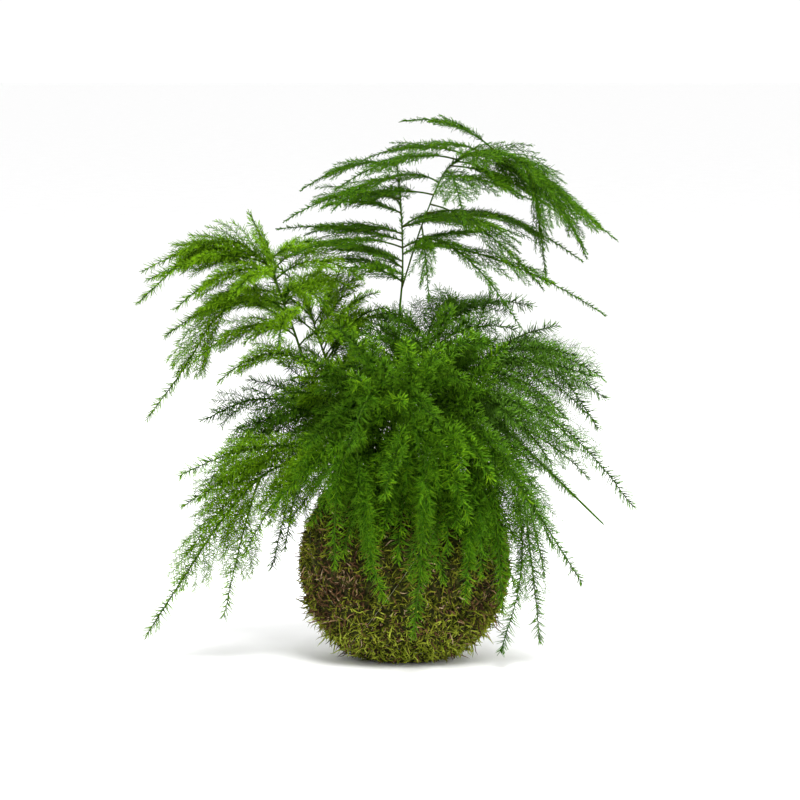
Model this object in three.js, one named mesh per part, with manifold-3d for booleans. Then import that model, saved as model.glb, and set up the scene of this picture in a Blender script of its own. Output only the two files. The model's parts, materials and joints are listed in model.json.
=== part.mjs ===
// A kokedama: an asparagus fern growing from a ball of soil wrapped in moss.
// The soil ball sits inside the moss cover, turns of clear thread bind the moss, and each frond stands in
// its own hole in the soil. Lengths are in millimetres, +Z is up, and the origin is the middle of the small
// flat spot that the ball rests on. The front of the plant faces -Y.
import * as THREE from "three";
import { mergeVertices } from "three/addons/utils/BufferGeometryUtils.js";
import Module from "manifold-3d";

const wasm = await Module();
wasm.setup();

// Driving dimensions
const BALL_RADIUS = 60;
const BALL_CENTRE_HEIGHT = 56;
const MOSS_THICKNESS = 8;
const MOSS_FLOOR_THICKNESS = 7;
const CROWN_OPENING_RADIUS = 24;
const THREAD_RADIUS = 0.6;
const NEEDLE_LENGTH = 6.5;
const SPRAY_SPACING = 26;
const GAP = 0.35;

// Colours
const MOSS_GREEN = 0x5f6a20;
const SOIL_BROWN = 0x2c2018;
const THREAD_CLEAR = 0xdfe6e0;
const FERN_GREEN = 0x2f7410;

// Ball
const BALL_CENTRE = new THREE.Vector3(0, 0, BALL_CENTRE_HEIGHT);
const SOIL_RADIUS = BALL_RADIUS - MOSS_THICKNESS;
const SOIL_TOP = BALL_CENTRE_HEIGHT + SOIL_RADIUS;
const MOSS_COLUMNS = 26;
const MOSS_ROWS = 14;
const SOIL_COLUMNS = 16;
const SOIL_ROWS = 9;
const DENT_DEPTH = 2;
const TUFT_HEIGHT = 2.6;
const TUFT_EVERY = 3;
const OPENING_SIDES = 14;
const OPENING_HEIGHT = 60;

// Thread
const THREAD_LOOPS = 3;
const THREAD_SIDES = 16;
const THREAD_TILT = THREE.MathUtils.degToRad(55);
const THREAD_LOOP_RADIUS = (BALL_RADIUS + GAP + THREAD_RADIUS / 2) / Math.cos(Math.PI / THREAD_SIDES);
const THREAD_MARGIN = 8;

// Stems, shoots, sprays and needles
const STEM_SIDES = 4;
const TWIG_SIDES = 3;
const STEM_RADII = [1.6, 0.9];
const SHOOT_RADII = [1.1, 0.7];
const SPRAY_RADII = [0.85, 0.65];
const STEM_DEPTH = 16;
const COLLAR_HEIGHT = 3;
const HOLE_SIDES = 6;
const HOLE_DEPTH = STEM_DEPTH + 0.5;
const SHOOT_ROOT = 4;
const SPRAY_ROOT = 3;
const SHOOT_BOW_SHARE = 0.45;
const SPRAY_TAPER = [1.1, 0.6];
const SPRAY_SIZE_SCATTER = 0.15;
const SHORTER_SPRAY = 0.6;
const FORK_LENGTH = 2;
const WHORL_LENGTH = 1.1;
const WHORL_FROM_TIP = 7;
const LONGEST_STEP = 18;
const CLOSEST_STOPS = 6;
const BARE_SHARE = 0.16;
const TIP_ROOM = 14;
const SHORTEST_SPRAY = 11;
const LONG_SPRAY = 27;
const SHORT_SPRAY_WHORLS = [0.5];
const LONG_SPRAY_WHORLS = [0.45, 0.75];
const SPRAY_ANGLE = THREE.MathUtils.degToRad(52);
const SPRAY_END_ANGLE = THREE.MathUtils.degToRad(36);
const SPRAY_SCATTER = THREE.MathUtils.degToRad(14);
const NEEDLE_LEAN = THREE.MathUtils.degToRad(50);
const NEEDLE_FAN = 0.6;
const NEEDLE_RADIUS = 0.4;
const NEEDLE_LINE_START = 0.2;
const BALL_REACH = BALL_RADIUS + TUFT_HEIGHT + 2;
const LOWEST_FOLIAGE = 2;
const CROWN_REACH = 20;

// How far a shoot or a spray is moved aside when it would cross another frond.
const SHOOT_BENDS = [0, 5, -5, 10, -10, 16, -16, 22];
const SPRAY_TURNS = [0, 22, -22, 44, -44].map((degrees) => THREE.MathUtils.degToRad(degrees));

// The fronds. The stem rises from its foot in the soil and follows the points. It is bare for a share of
// its length, and its shoots leave at a share of it. A shoot runs to its tip, bowed upwards by its arch.
// Sprays leave to both sides of a stem or shoot, in a flat fan that is turned by its tilt, 0 being level.
const FRONDS = [
  {
    name: "frond_tall",
    foot: [0, 3],
    stem: [[-3, 5, 160], [-3, 6, 197], [-1, 8, 226], [-2, 10, 262], [-5, 14, 290]],
    bare: 0.84,
    spread: 24,
    shoots: [
      { at: 0.98, tip: [-58, 10, 272], arch: 14, tilt: 12, spread: 22 },
      { at: 0.88, tip: [-67, -14, 256], arch: 18, tilt: -8, spread: 26 },
      { at: 0.74, tip: [-64, -30, 233], arch: 14, tilt: 12, spread: 24 },
      { at: 0.86, tip: [-20, 66, 262], arch: 14, spread: 26 },
      { at: 0.8, tip: [42, 52, 248], arch: 16, spread: 26 },
      { at: 0.68, tip: [-46, 40, 236], arch: 12, spread: 22 },
      {
        at: 0.62,
        through: [[12, 3, 257], [29, 0, 289], [64, -4, 291]],
        tip: [122, -10, 244],
        bare: 0.52,
        tilt: 6,
        spread: 30,
        shoots: [
          { at: 0.47, tip: [-1, -4, 311], arch: 8, tilt: 16, spread: 18 },
          { at: 0.43, tip: [-40, -44, 274], arch: 18, tilt: 8, spread: 26 },
          { at: 0.6, tip: [104, -40, 238], arch: 14, tilt: 16, spread: 24 },
          { at: 0.52, tip: [80, 44, 258], arch: 14, spread: 26 },
          { at: 0.38, tip: [34, -62, 256], arch: 16, tilt: 10, spread: 26 },
          { at: 0.14, tip: [115, -30, 202], arch: 18, tilt: 20, spread: 18 },
          { at: 0.27, tip: [80, -16, 222], arch: 16, tilt: 30, spread: 18 },
        ],
      },
    ],
  },
  {
    name: "frond_left_high",
    foot: [-10, -1],
    stem: [
      [-22, -4, 134], [-49, -8, 154], [-66, -12, 198],
      [-82, -14, 234], [-112, -18, 243], [-153, -22, 209],
    ],
    bare: 0.6,
    tilt: 25,
    spread: 24,
    shoots: [
      { at: 0.66, tip: [-146, 12, 220], arch: 18, tilt: 20, spread: 24 },
      { at: 0.62, tip: [-130, -48, 207], arch: 16, tilt: 30, spread: 24 },
      { at: 0.52, tip: [-137, -26, 182], arch: 20, tilt: 35, spread: 24 },
      { at: 0.43, tip: [-148, -20, 142], arch: 24, tilt: 40, spread: 24 },
      { at: 0.36, tip: [-104, -46, 164], arch: 12, tilt: 40, spread: 22 },
      { at: 0.58, tip: [-90, 22, 258], arch: 6, tilt: 50, spread: 20 },
    ],
  },
  {
    name: "frond_left_mid",
    foot: [-7, 8],
    stem: [[-20, 12, 137], [-38, 16, 154], [-50, 20, 185], [-60, 24, 212], [-80, 34, 232]],
    bare: 0.7,
    tilt: 20,
    spread: 22,
    shoots: [
      { at: 0.7, tip: [-14, 24, 226], arch: 14, tilt: 25, spread: 22 },
      { at: 0.56, tip: [-18, 4, 204], arch: 14, tilt: 34, spread: 22 },
      { at: 0.66, tip: [-106, 52, 204], arch: 16, spread: 24 },
      { at: 0.76, tip: [-50, 76, 220], arch: 14, spread: 24 },
    ],
  },
  {
    name: "frond_right_high",
    foot: [10, 4],
    stem: [[20, 8, 140], [45, 8, 172], [66, 6, 187], [88, 2, 194]],
    bare: 0.42,
    tilt: 55,
    spread: 20,
    shoots: [
      { at: 0.6, tip: [116, -2, 152], arch: 28, tilt: 60, spread: 22 },
      { at: 0.48, tip: [132, -14, 90], arch: 44, tilt: 50, spread: 24 },
      { at: 0.5, tip: [50, 14, 212], arch: 6, tilt: 60, spread: 18 },
      { at: 0.7, tip: [98, 52, 168], arch: 20, spread: 26 },
    ],
  },
  {
    name: "frond_right_long",
    foot: [14, -4],
    stem: [[26, -8, 138], [42, -14, 148], [66, -20, 128], [116, -28, 80]],
    bare: 0.4,
    tilt: 30,
    spread: 18,
    shoots: [
      { at: 0.42, tip: [98, -52, 130], arch: 22, tilt: 50, spread: 24 },
      { at: 0.5, tip: [108, 6, 104], arch: 12, tilt: 60, spread: 22 },
    ],
  },
  {
    name: "frond_right_low",
    foot: [12, -11],
    stem: [[26, -20, 131], [50, -32, 122], [70, -36, 98], [102, -32, 48]],
    bare: 0.45,
    tilt: 70,
    spread: 22,
    shoots: [
      { at: 0.62, tip: [78, -32, 14], arch: 8, tilt: 80, spread: 20 },
      { at: 0.42, tip: [84, -70, 74], arch: 18, tilt: 50, spread: 24 },
    ],
  },
  {
    name: "frond_left_low",
    foot: [-13, -7],
    stem: [[-30, -16, 132], [-62, -24, 120], [-96, -30, 96], [-148, -36, 19]],
    bare: 0.35,
    tilt: 65,
    spread: 28,
    shoots: [
      { at: 0.5, tip: [-104, -26, 28], arch: 10, tilt: 80, spread: 22 },
      { at: 0.34, tip: [-128, -52, 112], arch: 14, tilt: 60, spread: 24 },
      { at: 0.44, tip: [-140, -14, 82], arch: 10, tilt: 60, spread: 24 },
    ],
  },
  {
    name: "frond_left_back",
    foot: [-14, 4],
    stem: [[-28, 16, 134], [-60, 28, 146], [-90, 34, 148], [-118, 34, 136]],
    bare: 0.4,
    tilt: 60,
    spread: 24,
    shoots: [
      { at: 0.6, tip: [-116, 62, 96], arch: 16, tilt: -30, spread: 26 },
      { at: 0.5, tip: [-78, 42, 48], arch: 26, tilt: 70, spread: 24 },
    ],
  },
  {
    name: "frond_front_left",
    foot: [-6, -13],
    stem: [[-16, -30, 134], [-28, -54, 134], [-38, -68, 110], [-40, -72, 62]],
    bare: 0.35,
    tilt: 80,
    spread: 24,
    shoots: [
      { at: 0.42, tip: [-74, -64, 96], arch: 14, tilt: 60, spread: 24 },
      { at: 0.55, tip: [-14, -80, 40], arch: 14, tilt: 85, spread: 20 },
    ],
  },
  {
    name: "frond_front_mid",
    foot: [0, -17],
    stem: [[4, -34, 142], [8, -60, 142], [10, -80, 112], [10, -84, 24]],
    bare: 0.3,
    tilt: 85,
    spread: 22,
    shoots: [
      { at: 0.32, tip: [-12, -104, 104], arch: 16, tilt: 60, spread: 24 },
      { at: 0.34, tip: [36, -94, 92], arch: 16, tilt: 80, spread: 24 },
    ],
  },
  {
    name: "frond_front_right",
    foot: [7, -16],
    stem: [[22, -32, 139], [38, -48, 136], [50, -58, 104], [56, -58, 34]],
    bare: 0.3,
    tilt: 80,
    spread: 22,
    shoots: [
      { at: 0.4, tip: [70, -84, 100], arch: 14, tilt: 60, spread: 24 },
      { at: 0.5, tip: [34, -78, 44], arch: 12, tilt: 80, spread: 20 },
    ],
  },
  {
    name: "frond_middle",
    foot: [4, -6],
    stem: [[8, -10, 150], [15, -13, 178], [38, -18, 199]],
    bare: 0.55,
    tilt: 60,
    spread: 24,
    shoots: [
      { at: 0.7, tip: [-22, -28, 194], arch: 10, tilt: 60, spread: 24 },
      { at: 0.5, tip: [6, -66, 172], arch: 16, tilt: 50, spread: 26 },
      { at: 0.6, tip: [66, -42, 164], arch: 16, tilt: 60, spread: 26 },
      { at: 0.42, tip: [-50, -46, 160], arch: 16, tilt: 50, spread: 26 },
      { at: 0.78, tip: [26, -44, 206], arch: 10, tilt: 60, spread: 22 },
      { at: 0.34, tip: [30, -72, 126], arch: 20, tilt: 60, spread: 22 },
    ],
  },
  {
    name: "frond_front_high",
    foot: [-3, -8],
    stem: [[-8, -22, 146], [-14, -44, 162], [-22, -70, 156], [-32, -92, 132]],
    bare: 0.4,
    tilt: 40,
    spread: 24,
    shoots: [
      { at: 0.46, tip: [-56, -66, 130], arch: 16, tilt: 60, spread: 24 },
      { at: 0.36, tip: [-60, -36, 180], arch: 6, tilt: 60, spread: 22 },
      { at: 0.6, tip: [20, -90, 144], arch: 14, tilt: 50, spread: 24 },
    ],
  },
  {
    name: "frond_right_front",
    foot: [16, 3],
    stem: [[26, 2, 134], [44, -2, 158], [66, -14, 164], [92, -28, 144]],
    bare: 0.4,
    tilt: 50,
    spread: 24,
    shoots: [
      { at: 0.45, tip: [64, -52, 142], arch: 14, tilt: 60, spread: 24 },
      { at: 0.6, tip: [92, 24, 138], arch: 14, tilt: 40, spread: 24 },
    ],
  },
  {
    name: "frond_back_left",
    foot: [-10, 15],
    stem: [[-22, 34, 138], [-42, 58, 138], [-60, 74, 110], [-72, 82, 54]],
    bare: 0.35,
    tilt: -70,
    spread: 26,
    shoots: [
      { at: 0.4, tip: [-88, 70, 138], arch: 14, tilt: -40, spread: 26 },
      { at: 0.5, tip: [-32, 92, 58], arch: 14, tilt: -80, spread: 24 },
    ],
  },
  {
    name: "frond_back_mid",
    foot: [0, 19],
    stem: [[2, 38, 148], [0, 66, 148], [2, 90, 118], [6, 96, 46]],
    bare: 0.3,
    tilt: -80,
    spread: 28,
    shoots: [
      { at: 0.4, tip: [-38, 92, 146], arch: 14, tilt: -40, spread: 26 },
      { at: 0.5, tip: [36, 106, 88], arch: 14, tilt: -60, spread: 26 },
    ],
  },
  {
    name: "frond_back_right",
    foot: [10, 14],
    stem: [[26, 34, 140], [50, 54, 138], [68, 66, 106], [84, 72, 40]],
    bare: 0.35,
    tilt: -70,
    spread: 26,
    shoots: [
      { at: 0.4, tip: [100, 50, 116], arch: 14, tilt: -40, spread: 24 },
      { at: 0.5, tip: [50, 86, 34], arch: 14, tilt: -80, spread: 24 },
    ],
  },
  {
    name: "frond_back_high",
    foot: [4, 10],
    stem: [[10, 24, 162], [16, 40, 192], [28, 70, 204], [42, 106, 178]],
    bare: 0.45,
    spread: 28,
    shoots: [
      { at: 0.5, tip: [-26, 88, 190], arch: 16, spread: 26 },
      { at: 0.55, tip: [76, 84, 200], arch: 16, spread: 24 },
    ],
  },
];

const UP = new THREE.Vector3(0, 0, 1);
const BESIDE = new THREE.Vector3(1, 0, 0);

// The same scatter every time: a number from -1 to 1 for each number k.
function scatter(k) {
  const wave = Math.sin(k * 12.9898 + 4.1414) * 43758.5453;
  return 2 * (wave - Math.floor(wave)) - 1;
}

// A closed geometry as a manifold-3d solid.
function solidOf(geometry) {
  const bare = geometry.clone();
  bare.deleteAttribute("normal");
  bare.deleteAttribute("uv");
  const merged = mergeVertices(bare, 1e-4);
  return new wasm.Manifold(
    new wasm.Mesh({
      numProp: 3,
      vertProperties: merged.attributes.position.array,
      triVerts: new Uint32Array(merged.index.array),
    }),
  );
}

// A closed geometry from its points and its faces, each a triple of point numbers.
function geometryFrom(points, faces) {
  const positions = new Float32Array(faces.flat().flatMap((i) => points[i].toArray()));
  const geometry = new THREE.BufferGeometry();
  geometry.setAttribute("position", new THREE.BufferAttribute(positions, 3));
  return geometry;
}

// A manifold-3d solid as a geometry.
function geometryOf(solid) {
  const { vertProperties, triVerts } = solid.getMesh();
  return new THREE.BufferGeometry()
    .setAttribute("position", new THREE.BufferAttribute(vertProperties, 3))
    .setIndex(new THREE.BufferAttribute(triVerts, 1))
    .toNonIndexed();
}

function meshOf(name, geometry, color, roughness) {
  geometry.computeVertexNormals();
  const mesh = new THREE.Mesh(geometry, new THREE.MeshStandardMaterial({ color, roughness, metalness: 0 }));
  mesh.name = name;
  return mesh;
}

// Turns face f into three that meet at the tip above it.
function raiseFace(points, faces, f, tip) {
  const [a, b, c] = faces[f];
  const p = points.push(tip) - 1;
  faces[f] = [a, b, p];
  faces.push([b, c, p], [c, a, p]);
}

function faceCentre(points, face) {
  return new THREE.Triangle(...face.map((i) => points[i])).getMidpoint(new THREE.Vector3());
}

function faceNormal(points, face) {
  return new THREE.Triangle(...face.map((i) => points[i])).getNormal(new THREE.Vector3());
}

// The points and faces of a ball with a flat spot at the floor height. relief(direction) adds to its radius.
function ballParts(radius, columns, rows, floor, relief) {
  const points = [];
  const spotEdge = Math.acos((floor - BALL_CENTRE_HEIGHT) / radius);
  const pointAt = (row, column) => {
    const polar = (spotEdge * row) / (rows - 1);
    const around = (2 * Math.PI * (column % columns)) / columns;
    const direction = new THREE.Vector3().setFromSphericalCoords(1, polar, around);
    direction.set(direction.z, direction.x, direction.y);
    const p = direction.clone().multiplyScalar(radius + relief(direction)).add(BALL_CENTRE);
    if (row === rows - 1) p.z = floor;
    return p;
  };
  const top = points.push(pointAt(0, 0)) - 1;
  const rings = [];
  for (let row = 1; row < rows; row++) {
    rings.push(Array.from({ length: columns }, (_, column) => points.push(pointAt(row, column)) - 1));
  }
  const bottom = points.push(new THREE.Vector3(0, 0, floor)) - 1;
  const faces = [];
  for (let j = 0; j < columns; j++) {
    const k = (j + 1) % columns;
    faces.push([top, rings[0][j], rings[0][k]]);
    for (let i = 0; i + 1 < rings.length; i++) {
      faces.push([rings[i][j], rings[i + 1][j], rings[i + 1][k]]);
      faces.push([rings[i][j], rings[i + 1][k], rings[i][k]]);
    }
    faces.push([rings.at(-1)[j], bottom, rings.at(-1)[k]]);
  }
  return { points, faces };
}

// Soft dents in the moss: a smooth wave over the ball's directions.
function mossDents(direction) {
  const across = Math.sin(9 * direction.x + 2) * Math.sin(8 * direction.y + 1);
  const upwards = Math.sin(10 * direction.z + 4 * direction.x);
  return (DENT_DEPTH * (across + upwards - 2)) / 4;
}

// The turning of each loop of thread about the ball's centre.
const THREAD_TURNS = Array.from({ length: THREAD_LOOPS }, (_, i) =>
  new THREE.Matrix4()
    .makeRotationZ((2 * Math.PI * (i + 0.25)) / THREAD_LOOPS)
    .multiply(new THREE.Matrix4().makeRotationX(THREAD_TILT)),
);

// The binding thread: loops of a three-sided section, joined where they cross.
function bindingThread() {
  const inner = THREAD_LOOP_RADIUS - THREAD_RADIUS / 2;
  const outer = THREAD_LOOP_RADIUS + THREAD_RADIUS;
  const halfWidth = THREAD_RADIUS * Math.cos(Math.PI / 6);
  const section = [[inner, -halfWidth], [outer, 0], [inner, halfWidth], [inner, -halfWidth]];
  const loops = THREAD_TURNS.map((turn) => {
    const loop = new THREE.LatheGeometry(section.map((p) => new THREE.Vector2(...p)), THREAD_SIDES);
    return solidOf(loop.rotateX(Math.PI / 2).applyMatrix4(turn).translate(0, 0, BALL_CENTRE_HEIGHT));
  });
  return loops.reduce((all, loop) => all.add(loop));
}

// True where a point of the moss is clear of the thread, so that a tuft can stand there.
function isOffThread(p) {
  return THREAD_TURNS.every((turn) => {
    const normal = UP.clone().transformDirection(turn);
    return Math.abs(p.clone().sub(BALL_CENTRE).dot(normal)) > THREAD_MARGIN;
  });
}

// The moss: a shell with soft dents and short tufts, open at the crown.
function mossCover() {
  const { points, faces } = ballParts(BALL_RADIUS, MOSS_COLUMNS, MOSS_ROWS, 0, mossDents);
  const faceCount = faces.length;
  for (let f = 0; f < faceCount; f += TUFT_EVERY) {
    const centre = faceCentre(points, faces[f]);
    const isOffCrown = Math.hypot(centre.x, centre.y) > 1.5 * CROWN_OPENING_RADIUS;
    const isOffSpot = centre.z > 2 * TUFT_HEIGHT;
    if (!isOffCrown || !isOffSpot || !isOffThread(centre)) continue;
    const outwards = faceNormal(points, faces[f]);
    raiseFace(points, faces, f, centre.addScaledVector(outwards, TUFT_HEIGHT));
  }
  const inside = ballParts(SOIL_RADIUS + GAP, SOIL_COLUMNS, SOIL_ROWS, MOSS_FLOOR_THICKNESS - GAP, () => 0);
  const opening = new THREE.CylinderGeometry(
    CROWN_OPENING_RADIUS, CROWN_OPENING_RADIUS, OPENING_HEIGHT, OPENING_SIDES,
  );
  opening.rotateX(Math.PI / 2).translate(0, 0, SOIL_TOP);
  return solidOf(geometryFrom(points, faces))
    .subtract(solidOf(geometryFrom(inside.points, inside.faces)))
    .subtract(solidOf(opening));
}

function soilHeight(x, y) {
  return BALL_CENTRE_HEIGHT + Math.sqrt(SOIL_RADIUS ** 2 - x ** 2 - y ** 2);
}

// The ball of soil, with a plain upright hole for the foot of each stem.
function soilCore() {
  const { points, faces } = ballParts(SOIL_RADIUS, SOIL_COLUMNS, SOIL_ROWS, MOSS_FLOOR_THICKNESS, () => 0);
  const holeRadius = (STEM_RADII[0] + GAP) / Math.cos(Math.PI / HOLE_SIDES);
  return FRONDS.reduce((soil, { foot: [x, y] }) => {
    const bottom = soilHeight(x, y) - HOLE_DEPTH;
    const height = SOIL_TOP + COLLAR_HEIGHT - bottom;
    const hole = new THREE.CylinderGeometry(holeRadius, holeRadius, height, HOLE_SIDES);
    hole.rotateX(Math.PI / 2).translate(x, y, bottom + height / 2);
    return soil.subtract(solidOf(hole));
  }, solidOf(geometryFrom(points, faces)));
}

// Everything of the foliage that has its place so far, as straight stretches with a radius.
const placed = [];

function stretchOf(owner, from, to, radius) {
  const line = new THREE.Line3(from, to);
  return { owner, line, radius, middle: line.getCenter(new THREE.Vector3()), half: line.distance() / 2 };
}

// True if a stretch stays off the ball and the ground, and off all that is placed but its neighbours.
function isClear(stretch, neighbours) {
  const { start, end } = stretch.line;
  const isInCrown = Math.hypot(start.x, start.y) < CROWN_REACH && start.z > BALL_CENTRE_HEIGHT;
  if (end.distanceTo(BALL_CENTRE) < BALL_REACH && !isInCrown) return false;
  if (end.z < LOWEST_FOLIAGE) return false;
  return placed.every((other) => {
    const room = stretch.radius + other.radius + GAP;
    if (stretch.middle.distanceTo(other.middle) > stretch.half + other.half + room) return true;
    if (neighbours.includes(other.owner)) return true;
    return stretch.line.distanceSqToLine3(other.line) > room ** 2;
  });
}

// Directions at a share of a curve: along it, and to the side in its fan.
function fanFrame(curve, share, tilt) {
  const along = curve.getTangentAt(share);
  const side = along.clone().cross(UP);
  if (side.length() < 0.05) side.copy(BESIDE);
  side.normalize().applyAxisAngle(along, THREE.MathUtils.degToRad(tilt));
  return { along, side };
}

// The curve of a stem: straight up out of its hole, and then through its points.
function stemCurve({ foot: [x, y], stem }) {
  const collar = new THREE.Vector3(x, y, SOIL_TOP + COLLAR_HEIGHT);
  const bottom = new THREE.Vector3(x, y, soilHeight(x, y) - STEM_DEPTH);
  const path = new THREE.CurvePath();
  path.add(new THREE.LineCurve3(bottom, collar));
  const points = [collar, ...stem.map((p) => new THREE.Vector3(...p))];
  path.add(new THREE.CatmullRomCurve3(points, false, "catmullrom"));
  return path;
}

// The curve of a shoot from its place on its parent, bent aside by some millimetres to clear a frond.
function shootCurve(start, { through, tip, arch }, bend) {
  const end = new THREE.Vector3(...tip);
  const aside = end.clone().sub(start).cross(UP).normalize().multiplyScalar(bend);
  if (through) {
    const middle = through.map((p) => new THREE.Vector3(...p).add(aside));
    return new THREE.CatmullRomCurve3([start, ...middle, end], false, "catmullrom");
  }
  const middle = start.clone().lerp(end, SHOOT_BOW_SHARE).addScaledVector(UP, arch).add(aside);
  return new THREE.QuadraticBezierCurve3(start, middle, end);
}

// The curve of a spray, leaving its parent at an angle in the fan and curving forwards.
function sprayCurve(start, frame, hand, length, turn) {
  const side = frame.side.clone().multiplyScalar(hand).applyAxisAngle(frame.along, turn);
  const towards = (angle) =>
    frame.along.clone().multiplyScalar(Math.cos(angle)).addScaledVector(side, Math.sin(angle));
  const middle = start.clone().addScaledVector(towards(SPRAY_ANGLE), length / 2);
  const end = middle.clone().addScaledVector(towards(SPRAY_END_ANGLE), length / 2);
  return new THREE.QuadraticBezierCurve3(start, middle, end);
}

// A stem, shoot or spray: a slim core along a curve. Its forks are the distances at which others leave
// it, and its whorls those at which only needles do.
class Twig {
  constructor(owner, curve, sides, radii, root, forks, whorls) {
    this.owner = owner;
    this.curve = curve;
    this.sides = sides;
    this.radii = radii;
    this.length = curve.getLength();
    const knots = [
      ...forks.map((distance) => ({ distance, span: FORK_LENGTH })),
      ...whorls.map((distance) => ({ distance, span: WHORL_LENGTH })),
    ].sort((a, b) => a.distance - b.distance);
    this.stops = this.fillIn(root, knots);
    const distances = [root, ...this.stops.map((stop) => stop.distance), this.length];
    this.stretches = distances.slice(1).map((distance, i) =>
      stretchOf(owner, this.pointAt(distances[i]), this.pointAt(distance), radii[0]),
    );
  }

  pointAt(distance) {
    return this.curve.getPointAt(Math.min(1, distance / this.length));
  }

  // The knots with plain stops between them where they are far apart.
  fillIn(root, knots) {
    const stops = [];
    let last = root;
    for (const knot of [...knots, { distance: this.length }]) {
      const count = Math.ceil((knot.distance - last) / LONGEST_STEP);
      for (let i = 1; i < count; i++) {
        stops.push({ distance: last + ((knot.distance - last) * i) / count, span: 0 });
      }
      if (knot.span) stops.push(knot);
      last = knot.distance + (knot.span ?? 0);
    }
    return stops;
  }

  isClearOf(neighbours) {
    return this.stretches.every((stretch) => isClear(stretch, neighbours));
  }

  place() {
    placed.push(...this.stretches);
    return this;
  }
}

// The first of some ways to grow a twig that is clear of all but its neighbours, in its place.
function firstClear(twigs, neighbours) {
  return twigs.find((twig) => twig.isClearOf(neighbours))?.place();
}

// The stem or shoot with all that grows on it.
class Axis {
  constructor(owner, plan, ways, sides, radii, root, neighbours) {
    this.plan = plan;
    this.bare = plan.bare ?? BARE_SHARE;
    const twigs = ways.map((curve) => {
      const length = curve.getLength();
      const shootForks = (plan.shoots ?? []).map(({ at }) => at * length);
      const sprayForks = this.sprayForks(length).filter((fork) =>
        shootForks.every((other) => Math.abs(other - fork) > CLOSEST_STOPS),
      );
      const forks = [...shootForks, ...sprayForks];
      const twig = new Twig(owner, curve, sides, radii, root, forks, [length - WHORL_FROM_TIP]);
      return Object.assign(twig, { sprayForks });
    });
    this.twig = firstClear(twigs, neighbours);
    if (!this.twig) throw new Error(`${owner} has no clear way`);
    this.children = [];
  }

  // The distances at which sprays leave, in pairs.
  sprayForks(length) {
    const leafy = length * (1 - this.bare) - TIP_ROOM;
    const count = Math.max(0, Math.round(leafy / SPRAY_SPACING));
    return Array.from({ length: count }, (_, i) => length * this.bare + (leafy * (i + 0.5)) / count);
  }

  growShoots() {
    const { owner, curve, length } = this.twig;
    (this.plan.shoots ?? []).forEach((plan, i) => {
      const start = curve.getPointAt(plan.at);
      const ways = SHOOT_BENDS.map((bend) => shootCurve(start, plan, bend));
      const shoot = new Axis(`${owner}.${i}`, plan, ways, TWIG_SIDES, SHOOT_RADII, SHOOT_ROOT, [owner]);
      this.children.push({ fork: plan.at * length, axis: shoot, twig: shoot.twig });
      shoot.growShoots();
    });
  }

  growSprays() {
    const { sprayForks } = this.twig;
    sprayForks.forEach((fork, i) => {
      [-1, 1].forEach((hand) => {
        const spray = this.spray(fork, hand, i);
        if (spray) this.children.push({ fork, twig: spray });
      });
    });
    this.children.forEach(({ axis }) => axis?.growSprays());
  }

  // One spray, turned or shortened to where it is clear, if there is room for it.
  spray(fork, hand, i) {
    const { owner, curve, length } = this.twig;
    const seed = 2 * i + hand + 10 * length;
    const frame = fanFrame(curve, fork / length, this.plan.tilt ?? 0);
    const taper = SPRAY_TAPER[0] - (SPRAY_TAPER[1] * fork) / length;
    const reach = this.plan.spread * taper * (1 + SPRAY_SIZE_SCATTER * scatter(seed));
    const turn = SPRAY_SCATTER * scatter(seed + 0.5);
    const twigs = [reach, Math.max(SHORTER_SPRAY * reach, SHORTEST_SPRAY)].flatMap((size) =>
      SPRAY_TURNS.map((more) => {
        const way = sprayCurve(curve.getPointAt(fork / length), frame, hand, size, turn + more);
        const whorls = size > LONG_SPRAY ? LONG_SPRAY_WHORLS : SHORT_SPRAY_WHORLS;
        const stops = whorls.map((share) => share * size);
        return new Twig(`${owner}/${i}${hand}`, way, TWIG_SIDES, SPRAY_RADII, SPRAY_ROOT, [], stops);
      }),
    );
    return firstClear(twigs, [owner]);
  }
}

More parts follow.
